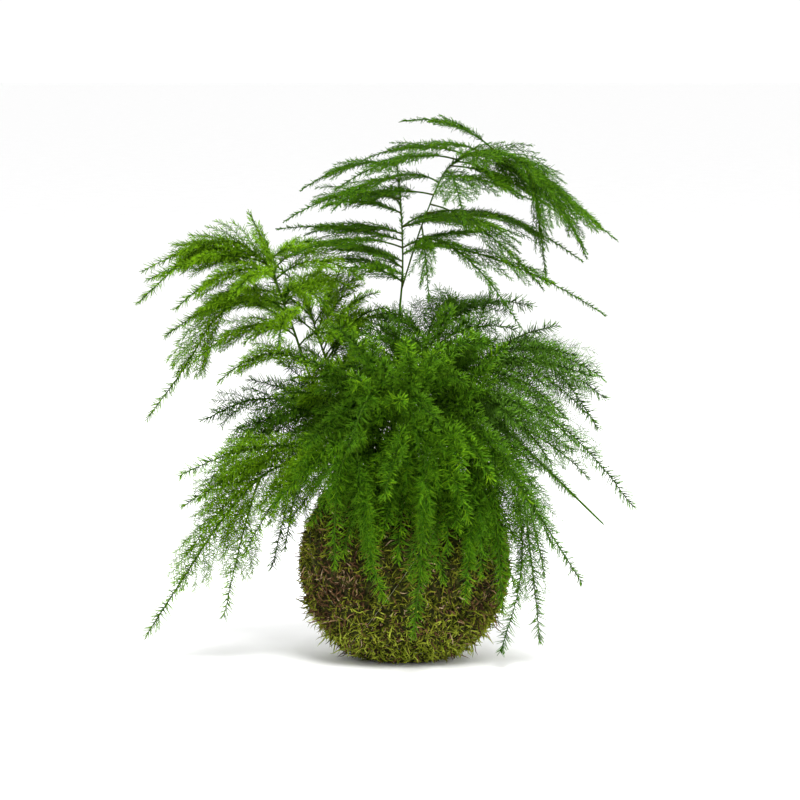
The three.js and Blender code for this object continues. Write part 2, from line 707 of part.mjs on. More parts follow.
// A closed mesh that grows: twigs start from a face of it, and needles are raised from its faces.
class Growth {
  constructor() {
    this.points = [];
    this.faces = [];
  }

  // A ring of points round a twig at a distance along it, in line with the direction across.
  ring(twig, distance, across) {
    const share = Math.min(1, distance / twig.length);
    const centre = twig.curve.getPointAt(share);
    const along = twig.curve.getTangentAt(share);
    across.addScaledVector(along, -across.dot(along)).normalize();
    const beside = along.clone().cross(across);
    const radius = THREE.MathUtils.lerp(twig.radii[0], twig.radii[1], share);
    return Array.from({ length: twig.sides }, (_, j) => {
      const turn = (2 * Math.PI * j) / twig.sides;
      const p = centre.clone().addScaledVector(across, radius * Math.cos(turn));
      return this.points.push(p.addScaledVector(beside, radius * Math.sin(turn))) - 1;
    });
  }

  // Joins two rings and returns the numbers of the new faces.
  band(low, high) {
    const first = this.faces.length;
    low.forEach((a, j) => {
      const k = (j + 1) % low.length;
      this.faces.push([a, low[k], high[k]], [a, high[k], high[j]]);
    });
    return Array.from({ length: 2 * low.length }, (_, i) => first + i);
  }

  // Grows an axis or spray from a ring, with all its children, and closes its tip.
  grow({ twig, axis }, base, across) {
    let ring = base;
    for (const { distance, span } of twig.stops) {
      const low = this.ring(twig, distance, across);
      this.band(ring, low);
      ring = low;
      if (!span) continue;
      const high = this.ring(twig, distance + span, across);
      const faces = this.band(low, high);
      const children = (axis?.children ?? []).filter(({ fork }) => fork === distance);
      children.forEach((child) => this.growChild(child, faces));
      if (span === WHORL_LENGTH) this.raiseNeedles(twig, distance, faces);
      ring = high;
    }
    const tip = this.points.push(twig.curve.getPointAt(1)) - 1;
    ring.forEach((a, j) => this.faces.push([a, ring[(j + 1) % ring.length], tip]));
  }

  // Grows a child out of the face that looks its way most.
  growChild(child, faces) {
    const towards = child.twig.curve.getTangentAt(0);
    const facing = (f) => (this.faces[f] ? faceNormal(this.points, this.faces[f]).dot(towards) : -1);
    const f = faces.reduce((best, other) => (facing(other) > facing(best) ? other : best));
    const base = this.faces[f];
    this.faces[f] = null;
    this.grow(child, base, this.linedUp(base, towards));
  }

  // The direction across a twig that lines its rings up with the corners of its base.
  linedUp(base, along) {
    const centre = faceCentre(this.points, base);
    return base.reduce((sum, corner, j) => {
      const spoke = this.points[corner].clone().sub(centre).projectOnPlane(along);
      return sum.add(spoke.applyAxisAngle(along, (-2 * Math.PI * j) / base.length));
    }, new THREE.Vector3());
  }

  // Raises a needle from each face of a whorl, leaning forwards and fanned aside, where it is clear.
  raiseNeedles(twig, distance, faces) {
    const along = twig.curve.getTangentAt(distance / twig.length);
    faces.forEach((f, i) => {
      const base = faceCentre(this.points, this.faces[f]);
      const outwards = faceNormal(this.points, this.faces[f]);
      const beside = along.clone().cross(outwards).multiplyScalar(i % 2 ? -NEEDLE_FAN : NEEDLE_FAN);
      const direction = outwards.add(beside).normalize().multiplyScalar(Math.sin(NEEDLE_LEAN));
      direction.addScaledVector(along, Math.cos(NEEDLE_LEAN));
      const tip = base.clone().addScaledVector(direction, NEEDLE_LENGTH);
      const needle = stretchOf(twig.owner, base.lerp(tip, NEEDLE_LINE_START), tip, NEEDLE_RADIUS);
      if (!isClear(needle, [twig.owner])) return;
      placed.push(needle);
      raiseFace(this.points, this.faces, f, tip);
    });
  }

  // The whole frond, from the closed foot of its stem.
  static frond(stem) {
    const growth = new Growth();
    const across = BESIDE.clone();
    const foot = growth.ring(stem.twig, 0, across);
    for (let j = 1; j + 1 < foot.length; j++) growth.faces.push([foot[0], foot[j + 1], foot[j]]);
    growth.grow({ twig: stem.twig, axis: stem }, foot, across);
    return geometryFrom(growth.points, growth.faces.filter((face) => face !== null));
  }
}

const stems = FRONDS.map((frond) =>
  new Axis(frond.name, frond, [stemCurve(frond)], STEM_SIDES, STEM_RADII, 0, []),
);
stems.forEach((stem) => stem.growShoots());
stems.forEach((stem) => stem.growSprays());

const kokedama = new THREE.Group();
kokedama.add(
  meshOf("soil_core", geometryOf(soilCore()), SOIL_BROWN, 0.95),
  meshOf("moss_cover", geometryOf(mossCover()), MOSS_GREEN, 0.95),
  meshOf("binding_thread", geometryOf(bindingThread()), THREAD_CLEAR, 0.4),
  ...stems.map((stem) => meshOf(stem.twig.owner, Growth.frond(stem), FERN_GREEN, 0.6)),
);

export default kokedama;
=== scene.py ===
"""A kokedama: an asparagus fern that grows from a ball of soil wrapped in moss.

The soil, the moss, the thread that binds it and each frond are classes that build and dress their own
pieces. Sizes and places are in millimetres, +Z is up, and the origin is the middle of the small flat spot
that the ball rests on. The front of the plant faces -Y.
"""

import json
import logging
import math
from collections.abc import Iterator, Sequence
from dataclasses import dataclass
from enum import Enum
from functools import cache

import bpy
import numpy as np
from mathutils import Matrix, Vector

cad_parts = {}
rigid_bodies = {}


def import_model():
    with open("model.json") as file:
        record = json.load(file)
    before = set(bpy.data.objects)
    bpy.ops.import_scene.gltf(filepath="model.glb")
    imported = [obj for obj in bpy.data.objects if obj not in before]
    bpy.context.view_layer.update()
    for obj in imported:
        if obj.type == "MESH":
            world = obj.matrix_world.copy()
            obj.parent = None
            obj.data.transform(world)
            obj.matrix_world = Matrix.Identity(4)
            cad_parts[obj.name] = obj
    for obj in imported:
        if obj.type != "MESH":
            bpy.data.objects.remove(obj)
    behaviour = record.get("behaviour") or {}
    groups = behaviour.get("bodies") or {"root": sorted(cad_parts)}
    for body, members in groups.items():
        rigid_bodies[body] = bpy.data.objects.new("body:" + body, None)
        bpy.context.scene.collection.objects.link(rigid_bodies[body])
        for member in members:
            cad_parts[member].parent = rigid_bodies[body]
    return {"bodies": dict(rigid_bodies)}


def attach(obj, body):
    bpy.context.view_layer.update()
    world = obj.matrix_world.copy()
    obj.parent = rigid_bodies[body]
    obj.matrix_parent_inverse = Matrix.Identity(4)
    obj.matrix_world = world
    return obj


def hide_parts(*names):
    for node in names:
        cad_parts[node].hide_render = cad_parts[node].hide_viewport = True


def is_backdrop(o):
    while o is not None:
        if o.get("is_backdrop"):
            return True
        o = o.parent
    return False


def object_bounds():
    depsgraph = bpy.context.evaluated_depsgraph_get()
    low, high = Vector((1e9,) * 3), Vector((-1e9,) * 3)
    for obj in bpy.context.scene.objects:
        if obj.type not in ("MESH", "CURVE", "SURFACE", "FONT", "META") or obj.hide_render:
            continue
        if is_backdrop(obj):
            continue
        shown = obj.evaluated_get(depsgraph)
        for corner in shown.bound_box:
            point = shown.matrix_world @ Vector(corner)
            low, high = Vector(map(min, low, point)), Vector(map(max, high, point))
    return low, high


log = logging.getLogger("kokedama")

Colour = tuple[float, float, float]
Point = tuple[float, float, float]
Span = tuple[float, float]
Socket = bpy.types.NodeSocket

MM = 0.001
TINY = 1e-9
UP = np.array((0.0, 0.0, 1.0))
SIDEWAYS = np.array((1.0, 0.0, 0.0))
# From what height a unit vector counts as steep, and below what level width as upright.
STEEP = 0.9
UPRIGHT = 0.05

BALL_RADIUS = 60.0
BALL_CENTRE = np.array((0.0, 0.0, 56.0))
SOIL_RADIUS = 52.0
SOIL_TOP = BALL_CENTRE[2] + SOIL_RADIUS
CROWN_RADIUS = 24.0


def unit(vectors: np.ndarray) -> np.ndarray:
    """Vectors of length 1 with the same directions, for vectors in rows."""
    return vectors / np.maximum(np.linalg.norm(vectors, axis=-1, keepdims=True), TINY)


def across_of(directions: np.ndarray) -> np.ndarray:
    """A unit vector square to each direction, for unit vectors in rows."""
    helper = np.where(np.abs(directions[:, 2:]) < STEEP, UP, SIDEWAYS)
    return unit(np.cross(directions, helper))


def spun(vectors: np.ndarray, axes: np.ndarray, angles: np.ndarray) -> np.ndarray:
    """Vectors turned about axes.

    Args:
        vectors: Vectors in rows.
        axes: A unit axis for each.
        angles: An angle for each, in radians.

    Returns:
        The turned vectors.
    """
    cosines = np.cos(angles)[:, None]
    sines = np.sin(angles)[:, None]
    along = np.sum(vectors * axes, axis=1, keepdims=True) * axes
    return vectors * cosines + np.cross(axes, vectors) * sines + along * (1 - cosines)


# Shapes that are modelled once and copied

# The step that turns the front corner of a needle into an edge at its tip.
NEEDLE_EDGE = (0.0, -0.6, 0.94)

# The rings of a twig: how thick each is, how the way between two is shared out, and how the twig ends.
RING_SWELLING = 1.14
RING_STEPS = (0.72, 0.28)
TWIG_END = 0.98
TWIG_END_SCALE = 0.8
TWIG_TIP = 0.02

# The two parts of a spray, and how thick it is between them.
SPRAY_STEPS = (0.55, 0.45)
SPRAY_MIDDLE_SCALE = 0.85

# How far strands of moss bend sideways in half widths, and how their width changes at each step.
CURL_REACH = 20.0
CURL_SCALES = (1.25, 1.0, 0.8)
CURL_STEP = 0.25

CRUMB_SHAPE = (1.0, 0.8, 0.7)
CRUMB_ROUGHNESS = 0.25
CRUMB_SEED = 3


@dataclass(frozen=True)
class Pattern:
    """A small shape that was modelled once and is copied often.

    Attributes:
        corners: Its corners, along Z from 0 to 1, in rows.
        triangles: The corner numbers of its triangles, in rows.
    """

    corners: np.ndarray
    triangles: np.ndarray

    @classmethod
    def from_active(cls) -> "Pattern":
        """Takes the shape of the object in edit mode, in triangles that face outwards, and deletes it.

        Returns:
            The pattern, with its triangles in the same order each time.
        """
        bpy.ops.mesh.select_all(action="SELECT")
        bpy.ops.mesh.quads_convert_to_tris()
        bpy.ops.mesh.normals_make_consistent(inside=False)
        bpy.ops.object.mode_set(mode="OBJECT")
        mesh = bpy.context.active_object.data
        corners = np.empty(3 * len(mesh.vertices))
        mesh.vertices.foreach_get("co", corners)
        triangles = np.empty((len(mesh.polygons), 3), dtype=np.int32)
        mesh.polygons.foreach_get("vertices", triangles.ravel())
        bpy.ops.object.delete()
        return cls(corners.reshape(-1, 3), triangles[np.lexsort(triangles.T)])

    @property
    def reach(self) -> np.ndarray:
        """How far along the pattern each corner is."""
        return self.corners[:, 2]

    def copied(
        self, feet: np.ndarray, along: np.ndarray, across: np.ndarray, lengths: np.ndarray, widths: np.ndarray
    ) -> np.ndarray:
        """Rigid copies of the pattern.

        Args:
            feet: The place of each copy's foot.
            along: The direction of each copy's length.
            across: A direction square to it.
            lengths: The length of each copy.
            widths: The half width of each copy.

        Returns:
            The corners of each copy, as copies by corners by 3.
        """
        x, y, z = (self.corners[None, :, k, None] for k in range(3))
        beside = np.cross(along, across)
        sideways = x * across[:, None] + y * beside[:, None]
        return feet[:, None] + sideways * widths[:, None, None] + z * (along * lengths[:, None])[:, None]


def start_shape(sides: int) -> None:
    """Adds a flat polygon of radius 1 as the foot of a shape, and selects it in edit mode.

    Args:
        sides: The number of its sides.
    """
    bpy.ops.object.select_all(action="DESELECT")
    bpy.ops.mesh.primitive_circle_add(vertices=sides, radius=1.0, fill_type="NGON", location=(0, 0, 0))
    bpy.ops.object.mode_set(mode="EDIT")
    bpy.ops.mesh.select_all(action="SELECT")


def draw_out(step: Point, scale: float) -> None:
    """Extrudes the selected face by a step and changes its size by a scale."""
    bpy.ops.mesh.extrude_region_move(TRANSFORM_OT_translate={"value": step})
    bpy.ops.transform.resize(value=(scale, scale, scale))


def close_tip(step: Point) -> None:
    """Extrudes the selected face by a step and draws it to a point."""
    bpy.ops.mesh.extrude_region_move(TRANSFORM_OT_translate={"value": step})
    bpy.ops.mesh.merge(type="CENTER")


def needle_pattern() -> Pattern:
    """Models a needle: a sliver with a short edge at its foot and a narrower one, turned square, at its tip.

    Returns:
        The pattern.
    """
    start_shape(3)
    close_tip((0.0, -1.0, 1.0))
    mesh = bpy.context.active_object.data
    bpy.ops.mesh.select_all(action="DESELECT")
    bpy.ops.object.mode_set(mode="OBJECT")
    front = max(mesh.vertices, key=lambda corner: corner.co.y)
    front.select = True
    bpy.ops.object.mode_set(mode="EDIT")
    bpy.ops.transform.translate(value=NEEDLE_EDGE)
    return Pattern.from_active()


def twig_pattern(sides: int, joints: int) -> Pattern:
    """Models a twig with a slightly thicker ring at each joint, that narrows to a point.

    Args:
        sides: The number of its sides.
        joints: The number of its joints.

    Returns:
        The pattern.
    """
    start_shape(sides)
    step = TWIG_END / joints
    for _ in range(joints - 1):
        draw_out((0, 0, RING_STEPS[0] * step), 1 / RING_SWELLING)
        draw_out((0, 0, RING_STEPS[1] * step), RING_SWELLING)
    draw_out((0, 0, step), TWIG_END_SCALE)
    close_tip((0, 0, TWIG_TIP))
    return Pattern.from_active()


def spray_pattern() -> Pattern:
    """Models the core of a spray: three-sided, so that it can bow in its middle, and pointed.

    Returns:
        The pattern.
    """
    start_shape(3)
    draw_out((0, 0, SPRAY_STEPS[0]), SPRAY_MIDDLE_SCALE)
    close_tip((0, 0, SPRAY_STEPS[1]))
    return Pattern.from_active()


class Curl(Enum):
    """The bends of a strand of moss: how far it goes sideways at each step, as a share of its length."""

    ARCHED = ((0.10, 0.0), (0.04, 0.02), (-0.08, 0.04), (-0.16, 0.04))
    HOOKED = ((0.04, 0.02), (0.10, 0.06), (0.16, -0.04), (-0.02, -0.18))
    WAVY = ((0.12, -0.02), (-0.14, 0.08), (0.16, 0.0), (-0.08, -0.10))

    def pattern(self) -> Pattern:
        """Models a strand with this curl, thickest in its middle.

        Returns:
            The pattern.
        """
        steps = [(CURL_REACH * x, CURL_REACH * y, CURL_STEP) for x, y in self.value]
        start_shape(3)
        for step, scale in zip(steps, CURL_SCALES):
            draw_out(step, scale)
        close_tip(steps[-1])
        return Pattern.from_active()


def crumb_pattern() -> Pattern:
    """Models a crumb of soil: a small uneven lump.

    Returns:
        The pattern.
    """
    bpy.ops.object.select_all(action="DESELECT")
    bpy.ops.mesh.primitive_ico_sphere_add(subdivisions=1, radius=1.0, location=(0, 0, 0))
    bpy.ops.object.mode_set(mode="EDIT")
    bpy.ops.mesh.select_all(action="SELECT")
    bpy.ops.transform.vertex_random(offset=CRUMB_ROUGHNESS, seed=CRUMB_SEED)
    bpy.ops.transform.resize(value=CRUMB_SHAPE)
    return Pattern.from_active()


class Bunch:
    """Collects copies of patterns and joins them into one piece."""

    def __init__(self) -> None:
        """Starts with no copies."""
        self.corners: list[np.ndarray] = []
        self.triangles: list[np.ndarray] = []
        self.tones: list[np.ndarray] = []
        self.reaches: list[np.ndarray] = []
        self.slots: list[np.ndarray] = []
        self.corner_count = 0

    def add(self, pattern: Pattern, corners: np.ndarray, tones: np.ndarray, slot: int) -> None:
        """Adds copies of a pattern.

        Args:
            pattern: The pattern.
            corners: The corners of each copy, as copies by corners by 3.
            tones: How light each copy is, from 0 to 1.
            slot: The number of their material.
        """
        copies, count, _ = corners.shape
        starts = self.corner_count + count * np.arange(copies)
        self.corners.append(corners.reshape(-1, 3))
        self.triangles.append((pattern.triangles[None] + starts[:, None, None]).reshape(-1, 3))
        self.tones.append(np.repeat(tones, count))
        self.reaches.append(np.tile(pattern.reach, copies))
        self.slots.append(np.full(copies * len(pattern.triangles), slot))
        self.corner_count += copies * count

    def piece(self, name: str) -> bpy.types.Object:
        """Makes one mesh object of all the copies, with a tone and a reach at each corner.

        Args:
            name: The object's name.

        Returns:
            The object, still without its materials.
        """
        corners = np.concatenate(self.corners) * MM
        triangles = np.concatenate(self.triangles).astype(np.int32)
        mesh = bpy.data.meshes.new(name)
        mesh.vertices.add(len(corners))
        mesh.vertices.foreach_set("co", corners.ravel())
        mesh.loops.add(triangles.size)
        mesh.loops.foreach_set("vertex_index", triangles.ravel())
        mesh.polygons.add(len(triangles))
        mesh.polygons.foreach_set("loop_start", 3 * np.arange(len(triangles), dtype=np.int32))
        mesh.polygons.foreach_set("material_index", np.concatenate(self.slots).astype(np.int32))
        for key, values in (("tone", self.tones), ("reach", self.reaches)):
            layer = mesh.attributes.new(key, "FLOAT", "POINT")
            layer.data.foreach_set("value", np.concatenate(values).astype(np.float32))
        mesh.update(calc_edges=True)
        mesh.shade_smooth()
        piece = bpy.data.objects.new(name, mesh)
        bpy.context.scene.collection.objects.link(piece)
        return piece


def report(piece: bpy.types.Object, body: str, slot: str, *nodes: str) -> None:
    """Attaches a piece to its body, hides the nodes that it stands for and logs it.

    Args:
        piece: The piece.
        body: The body that it rides on.
        slot: Not used.
        nodes: The nodes that it stands for.
    """
    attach(piece, body)
    if nodes:
        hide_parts(*nodes)
    piece.data.calc_loop_triangles()
    log.info("%s: %d triangles", piece.name, len(piece.data.loop_triangles))


# Finishes

# Which sockets of a colour mix take and give its colours.
MIX_FIRST = 6
MIX_SECOND = 7
MIX_RESULT = 2

# The part of the noise that the mottle effect spreads from 0 to 1.
MOTTLE_SPAN = (0.3, 0.7)

BLACK = (0.0, 0.0, 0.0)
WHITE = (1.0, 1.0, 1.0)


class Shader:
    """A new material's nodes, with short ways to add and join them."""

    def __init__(self, name: str) -> None:
        """Makes a plain material.

        Args:
            name: Its name.
        """
        self.material = bpy.data.materials.new(name)
        self.material.use_nodes = True
        self.tree = self.material.node_tree
        self.principled = self.tree.nodes["Principled BSDF"]

    def node(self, kind: str, **settings: object) -> bpy.types.Node:
        """Adds a node.

        Args:
            kind: The node's type.
            settings: Values for its properties.

        Returns:
            The node.
        """
        node = self.tree.nodes.new(kind)
        for key, value in settings.items():
            setattr(node, key, value)
        return node

    def join(self, output: Socket, target: Socket) -> None:
        """Joins an output to an input."""
        self.tree.links.new(output, target)

    def attribute(self, name: str) -> Socket:
        """The values of one of the piece's own attributes."""
        return self.node("ShaderNodeAttribute", attribute_name=name).outputs["Fac"]

    def ramp(self, fac: Socket, colours: dict[float, Colour]) -> Socket:
        """A ramp of colours.

        Args:
            fac: What drives the ramp.
            colours: Its colours, by their place from 0 to 1.

        Returns:
            The colour.
        """
        node = self.node("ShaderNodeValToRGB")
        elements = node.color_ramp.elements
        places = sorted(colours)
        elements[0].position, elements[1].position = places[0], places[-1]
        for place in places[1:-1]:
            elements.new(place)
        for element, place in zip(elements, places):
            element.color = (*colours[place], 1.0)
        self.join(fac, node.inputs["Fac"])
        return node.outputs["Color"]

    def mottle(self, scale: float, detail: float) -> Socket:
        """The mask of the mottle effect on the piece's own coordinates.

        Args:
            scale: How many blotches there are in a metre.
            detail: How ragged they are.

        Returns:
            The mask, from 0 to 1.
        """
        group = self.node("ShaderNodeGroup", node_tree=mottle_group())
        group.inputs["Scale"].default_value = scale
        group.inputs["Detail"].default_value = detail
        return group.outputs["Mask"]

    def mix(self, fac: Socket, first: Socket, second: Colour) -> Socket:
        """Mixes a colour with a plain one.

        Args:
            fac: How much there is of the plain one.
            first: The colour.
            second: The plain colour.

        Returns:
            The mixed colour.
        """
        node = self.node("ShaderNodeMix", data_type="RGBA")
        self.join(fac, node.inputs["Factor"])
        self.join(first, node.inputs[MIX_FIRST])
        node.inputs[MIX_SECOND].default_value = (*second, 1.0)
        return node.outputs[MIX_RESULT]

    def span(self, value: Socket, low: float, high: float) -> Socket:
        """Spreads a value from 0 to 1 over another range.

        Args:
            value: The value.
            low: What 0 becomes.
            high: What 1 becomes.

        Returns:
            The new value.
        """
        node = self.node("ShaderNodeMapRange")
        node.inputs["To Min"].default_value = low
        node.inputs["To Max"].default_value = high
        self.join(value, node.inputs["Value"])
        return node.outputs["Result"]

    def bump(self, height: Socket, depth: float, strength: float) -> None:
        """Raises the surface by a height.

        Args:
            height: The height, from 0 to 1.
            depth: The depth of the relief in millimetres.
            strength: How much of it shows.
        """
        node = self.node("ShaderNodeBump")
        node.inputs["Distance"].default_value = depth * MM
        node.inputs["Strength"].default_value = strength
        self.join(height, node.inputs["Height"])
        self.join(node.outputs["Normal"], self.principled.inputs["Normal"])

    def finished(self, colour: Socket, roughness: Socket, gloss: float) -> bpy.types.Material:
        """Joins the colour and the roughness to the surface.

        Args:
            colour: The colour.
            roughness: The roughness.
            gloss: How strongly the surface mirrors light, 0.5 for a plain one.

        Returns:
            The material.
        """
        self.join(colour, self.principled.inputs["Base Color"])
        self.join(roughness, self.principled.inputs["Roughness"])
        self.principled.inputs["Specular IOR Level"].default_value = gloss
        return self.material


@cache
def mottle_group() -> bpy.types.NodeTree:
    """Makes the mottle effect that several materials share: soft blotches with ragged edges.

    Returns:
        The node group, made at its first use.
    """
    group = bpy.data.node_groups.new("Mottle", "ShaderNodeTree")
    group.interface.new_socket("Scale", in_out="INPUT", socket_type="NodeSocketFloat")
    group.interface.new_socket("Detail", in_out="INPUT", socket_type="NodeSocketFloat")
    group.interface.new_socket("Mask", in_out="OUTPUT", socket_type="NodeSocketFloat")
    entry = group.nodes.new("NodeGroupInput")
    end = group.nodes.new("NodeGroupOutput")
    place = group.nodes.new("ShaderNodeTexCoord")
    noise = group.nodes.new("ShaderNodeTexNoise")
    spread = group.nodes.new("ShaderNodeMapRange")
    spread.inputs["From Min"].default_value, spread.inputs["From Max"].default_value = MOTTLE_SPAN
    group.links.new(place.outputs["Object"], noise.inputs["Vector"])
    group.links.new(entry.outputs["Scale"], noise.inputs["Scale"])
    group.links.new(entry.outputs["Detail"], noise.inputs["Detail"])
    group.links.new(noise.outputs["Fac"], spread.inputs["Value"])
    group.links.new(spread.outputs["Result"], end.inputs["Mask"])
    return group


@dataclass(frozen=True)
class NeedleFinish:
    """The green of needles and sprays: each has its own tone, in patches, with paler tips.

    Attributes:
        name: The material's name.
        dark: The colour of the darkest needles.
        middle: The colour of most needles.
        light: The colour of the lightest needles.
        tip: The colour at the tips.
        patching: How much the patches darken them at most.
        paleness: How much of the tips' colour there is at the tips.
        roughness: The roughness of the darkest and of the lightest needles.
        gloss: How strongly they mirror light.
    """

    name: str
    dark: Colour
    middle: Colour
    light: Colour
    tip: Colour
    patching: float = 0.5
    paleness: float = 0.3
    roughness: Span = (0.62, 0.45)
    gloss: float = 0.06

    @cache
    def material(self) -> bpy.types.Material:
        """Makes the material at its first use.

        Returns:
            The material.
        """
        shader = Shader(self.name)
        own = shader.ramp(shader.attribute("tone"), {0.0: self.dark, 0.5: self.middle, 1.0: self.light})
        patches = shader.span(shader.mottle(scale=38.0, detail=3.0), 0.0, self.patching)
        patched = shader.mix(patches, own, self.dark)
        tips = shader.span(shader.attribute("reach"), 0.0, self.paleness)
        colour = shader.mix(tips, patched, self.tip)
        roughness = shader.span(shader.attribute("tone"), *self.roughness)
        return shader.finished(colour, roughness, self.gloss)


@dataclass(frozen=True)
class BarkFinish:
    """The smooth skin of stems and shoots, browner in places.

    Attributes:
        name: The material's name.
        green: The colour of young skin.
        brown: The colour of old skin.
        green_from: How far along a stem its skin is green.
        browning: How much the blotches brown it at most.
        roughness: The roughness between the blotches and in them.
        gloss: How strongly it mirrors light.
    """

    name: str
    green: Colour
    brown: Colour
    green_from: float = 0.1
    browning: float = 0.45
    roughness: Span = (0.6, 0.8)
    gloss: float = 0.03

    @cache
    def material(self) -> bpy.types.Material:
        """Makes the material at its first use.

        Returns:
            The material.
        """
        shader = Shader(self.name)
        blotches = shader.mottle(scale=90.0, detail=5.0)
        young = shader.ramp(
            shader.attribute("reach"), {0.0: self.brown, self.green_from: self.green, 1.0: self.green}
        )
        colour = shader.mix(shader.span(blotches, 0.0, self.browning), young, self.brown)
        shader.bump(shader.mottle(scale=700.0, detail=2.0), depth=0.2, strength=0.5)
        return shader.finished(colour, shader.span(blotches, *self.roughness), self.gloss)


@dataclass(frozen=True)
class StrandFinish:
    """The colours of moss strands: dark at the root, and each with its own tone.

    Attributes:
        name: The material's name.
        root: The colour at the roots.
        dark: The colour of the darkest strands.
        light: The colour of the lightest strands.
        patching: How much the patches darken them at most.
        root_end: How far along a strand the colour of its root reaches.
        roughness: The roughness of the darkest and of the lightest strands.
        gloss: How strongly they mirror light.
    """

    name: str
    root: Colour
    dark: Colour
    light: Colour
    patching: float = 0.5
    root_end: float = 0.6
    roughness: Span = (0.85, 0.6)
    gloss: float = 0.05

    @cache
    def material(self) -> bpy.types.Material:
        """Makes the material at its first use.

        Returns:
            The material.
        """
        shader = Shader(self.name)
        own = shader.ramp(shader.attribute("tone"), {0.0: self.dark, 1.0: self.light})
        patches = shader.span(shader.mottle(scale=70.0, detail=4.0), 0.0, self.patching)
        patched = shader.mix(patches, own, self.dark)
        roots = shader.ramp(shader.attribute("reach"), {0.0: WHITE, self.root_end: BLACK})
        colour = shader.mix(roots, patched, self.root)
        shader.bump(shader.mottle(scale=1500.0, detail=2.0), depth=0.2, strength=0.6)
        roughness = shader.span(shader.attribute("tone"), *self.roughness)
        return shader.finished(colour, roughness, self.gloss)


@dataclass(frozen=True)
class EarthFinish:
    """Rough ground colour in three shades, for soil and the felt of the moss. The mottle that gives its own
    colour also raises its bumps, so the hollows carry painted shade and the crests painted light.

    Attributes:
        name: The material's name.
        dark: The colour in the hollows, partly painted shade.
        middle: The colour between.
        light: The colour on the crests, partly painted light.
        scale: How many blotches there are in a metre.
        middle_place: How high the colour between is, from 0 to 1.
        roughness: The roughness in the hollows and on the crests.
        gloss: How strongly it mirrors light.
    """

    name: str
    dark: Colour
    middle: Colour
    light: Colour
    scale: float
    middle_place: float = 0.55
    roughness: Span = (0.95, 0.8)
    gloss: float = 0.05

    @cache
    def material(self) -> bpy.types.Material:
        """Makes the material at its first use.

        Returns:
            The material.
        """
        shader = Shader(self.name)
        grains = shader.mottle(self.scale, detail=8.0)
        # One mottle drives both colour and bump: the earth's own mottled colour, with painted shade in the
        # hollows and painted light on the crests.
        colour = shader.ramp(grains, {0.0: self.dark, self.middle_place: self.middle, 1.0: self.light})
        shader.bump(grains, depth=1.2, strength=0.9)
        return shader.finished(colour, shader.span(grains, *self.roughness), self.gloss)


@dataclass(frozen=True)
class ThreadFinish:
    """Clear thread with a faint tint that moss has rubbed off on.

    Attributes:
        name: The material's name.
        clear: The tint of clean thread.
        stained: The tint where the moss has stained it.
        clearness: How much light goes through it.
        roughness: The roughness of clean and of stained thread.
        gloss: How strongly it mirrors light.
    """

    name: str
    clear: Colour
    stained: Colour
    clearness: float = 0.7
    roughness: Span = (0.35, 0.6)
    gloss: float = 0.5

    @cache
    def material(self) -> bpy.types.Material:
        """Makes the material at its first use.

        Returns:
            The material.
        """
        shader = Shader(self.name)
        stains = shader.mottle(scale=120.0, detail=4.0)
        colour = shader.ramp(stains, {0.0: self.clear, 1.0: self.stained})
        shader.principled.inputs["Transmission Weight"].default_value = self.clearness
        return shader.finished(colour, shader.span(stains, *self.roughness), self.gloss)


class Age(Enum):
    """How old a frond is, which sets its greens."""

    YOUNG = NeedleFinish(
        "Needles young",
        dark=(0.024, 0.092, 0.001),
        middle=(0.144, 0.340, 0.003),
        light=(0.285, 0.535, 0.005),
        tip=(0.310, 0.540, 0.012),
    )
    GROWN = NeedleFinish(
        "Needles grown",
        dark=(0.006, 0.042, 0.001),
        middle=(0.041, 0.170, 0.002),
        light=(0.208, 0.408, 0.004),
        tip=(0.222, 0.424, 0.012),
    )
    OLD = NeedleFinish(
        "Needles old",
        dark=(0.014, 0.060, 0.004),
        middle=(0.082, 0.226, 0.011),
        light=(0.210, 0.455, 0.026),
        tip=(0.255, 0.480, 0.055),
    )


BARK = BarkFinish("Frond skin", green=(0.028, 0.088, 0.003), brown=(0.045, 0.050, 0.010))

# The fronds

# The stem below the soil and at its foot, and the radii of what grows on it.
STEM_DEPTH = 16.0
COLLAR_HEIGHT = 3.0
STEM_RADIUS = 1.15
SHOOT_RADII = (0.6, 0.25)
SPRAY_RADII = (0.26, 0.15)
BARK_SLOT = 0
NEEDLE_SLOT = 1

# How finely lines are drawn, and how far along a shoot it is drawn upwards.
KNOT_STEPS = 14
FOOT_STEPS = 4
BOW_STEPS = 32
BOW_MIDDLE = 0.45

# Where sprays stand: how far they stray from even places, and the tail that has none.
SPRAY_STRAY = 0.3
BARE_SHARE = 0.16
TAIL_LENGTH = 38.0
TAIL_SHARE = 0.34

# How long sprays are along a shoot: they swell from their first size, and then get shorter.
FIRST_SPRAY = 0.6
SPRAY_SWELL = 2.0
FULL_SPRAY = 1.25
SPRAY_TAPER = 0.7
SPRAY_SIZES = (0.75, 1.2)
SHORTEST_SPRAY = 6.0
SPRAY_REACH = 0.9

# How sprays lean from their shoot at their foot and at their tip, in degrees, and how far they hang.
SPRAY_ANGLE = 42.0
SPRAY_END_ANGLE = 18.0
SPRAY_ANGLE_STRAY = 6.0
DROOP = 0.14
SPRAY_MIDDLE_ROOM = 3.0
SPRAY_END_ROOM = 4.0
SPRAY_TONE = 0.35
SPRAY_TONE_RANGE = 0.3

# Needles on sprays, and on stems and shoots: how far they stray from the flat of the fan, in radians.
SPRAY_NEEDLE_SCATTER = 0.8
# How much lighter needles on sprays get towards the ends: partly paler young growth, partly painted shade
# that darkens the inner needles.
SPRAY_FRESH_AND_DEPTH_SHADE = 0.32
AXIS_NEEDLES = 2.5
AXIS_NEEDLE_RADIUS = 0.34
AXIS_NEEDLE_SCATTER = 1.5
AXIS_STOPS = 13
LEAFY_START = 0.9

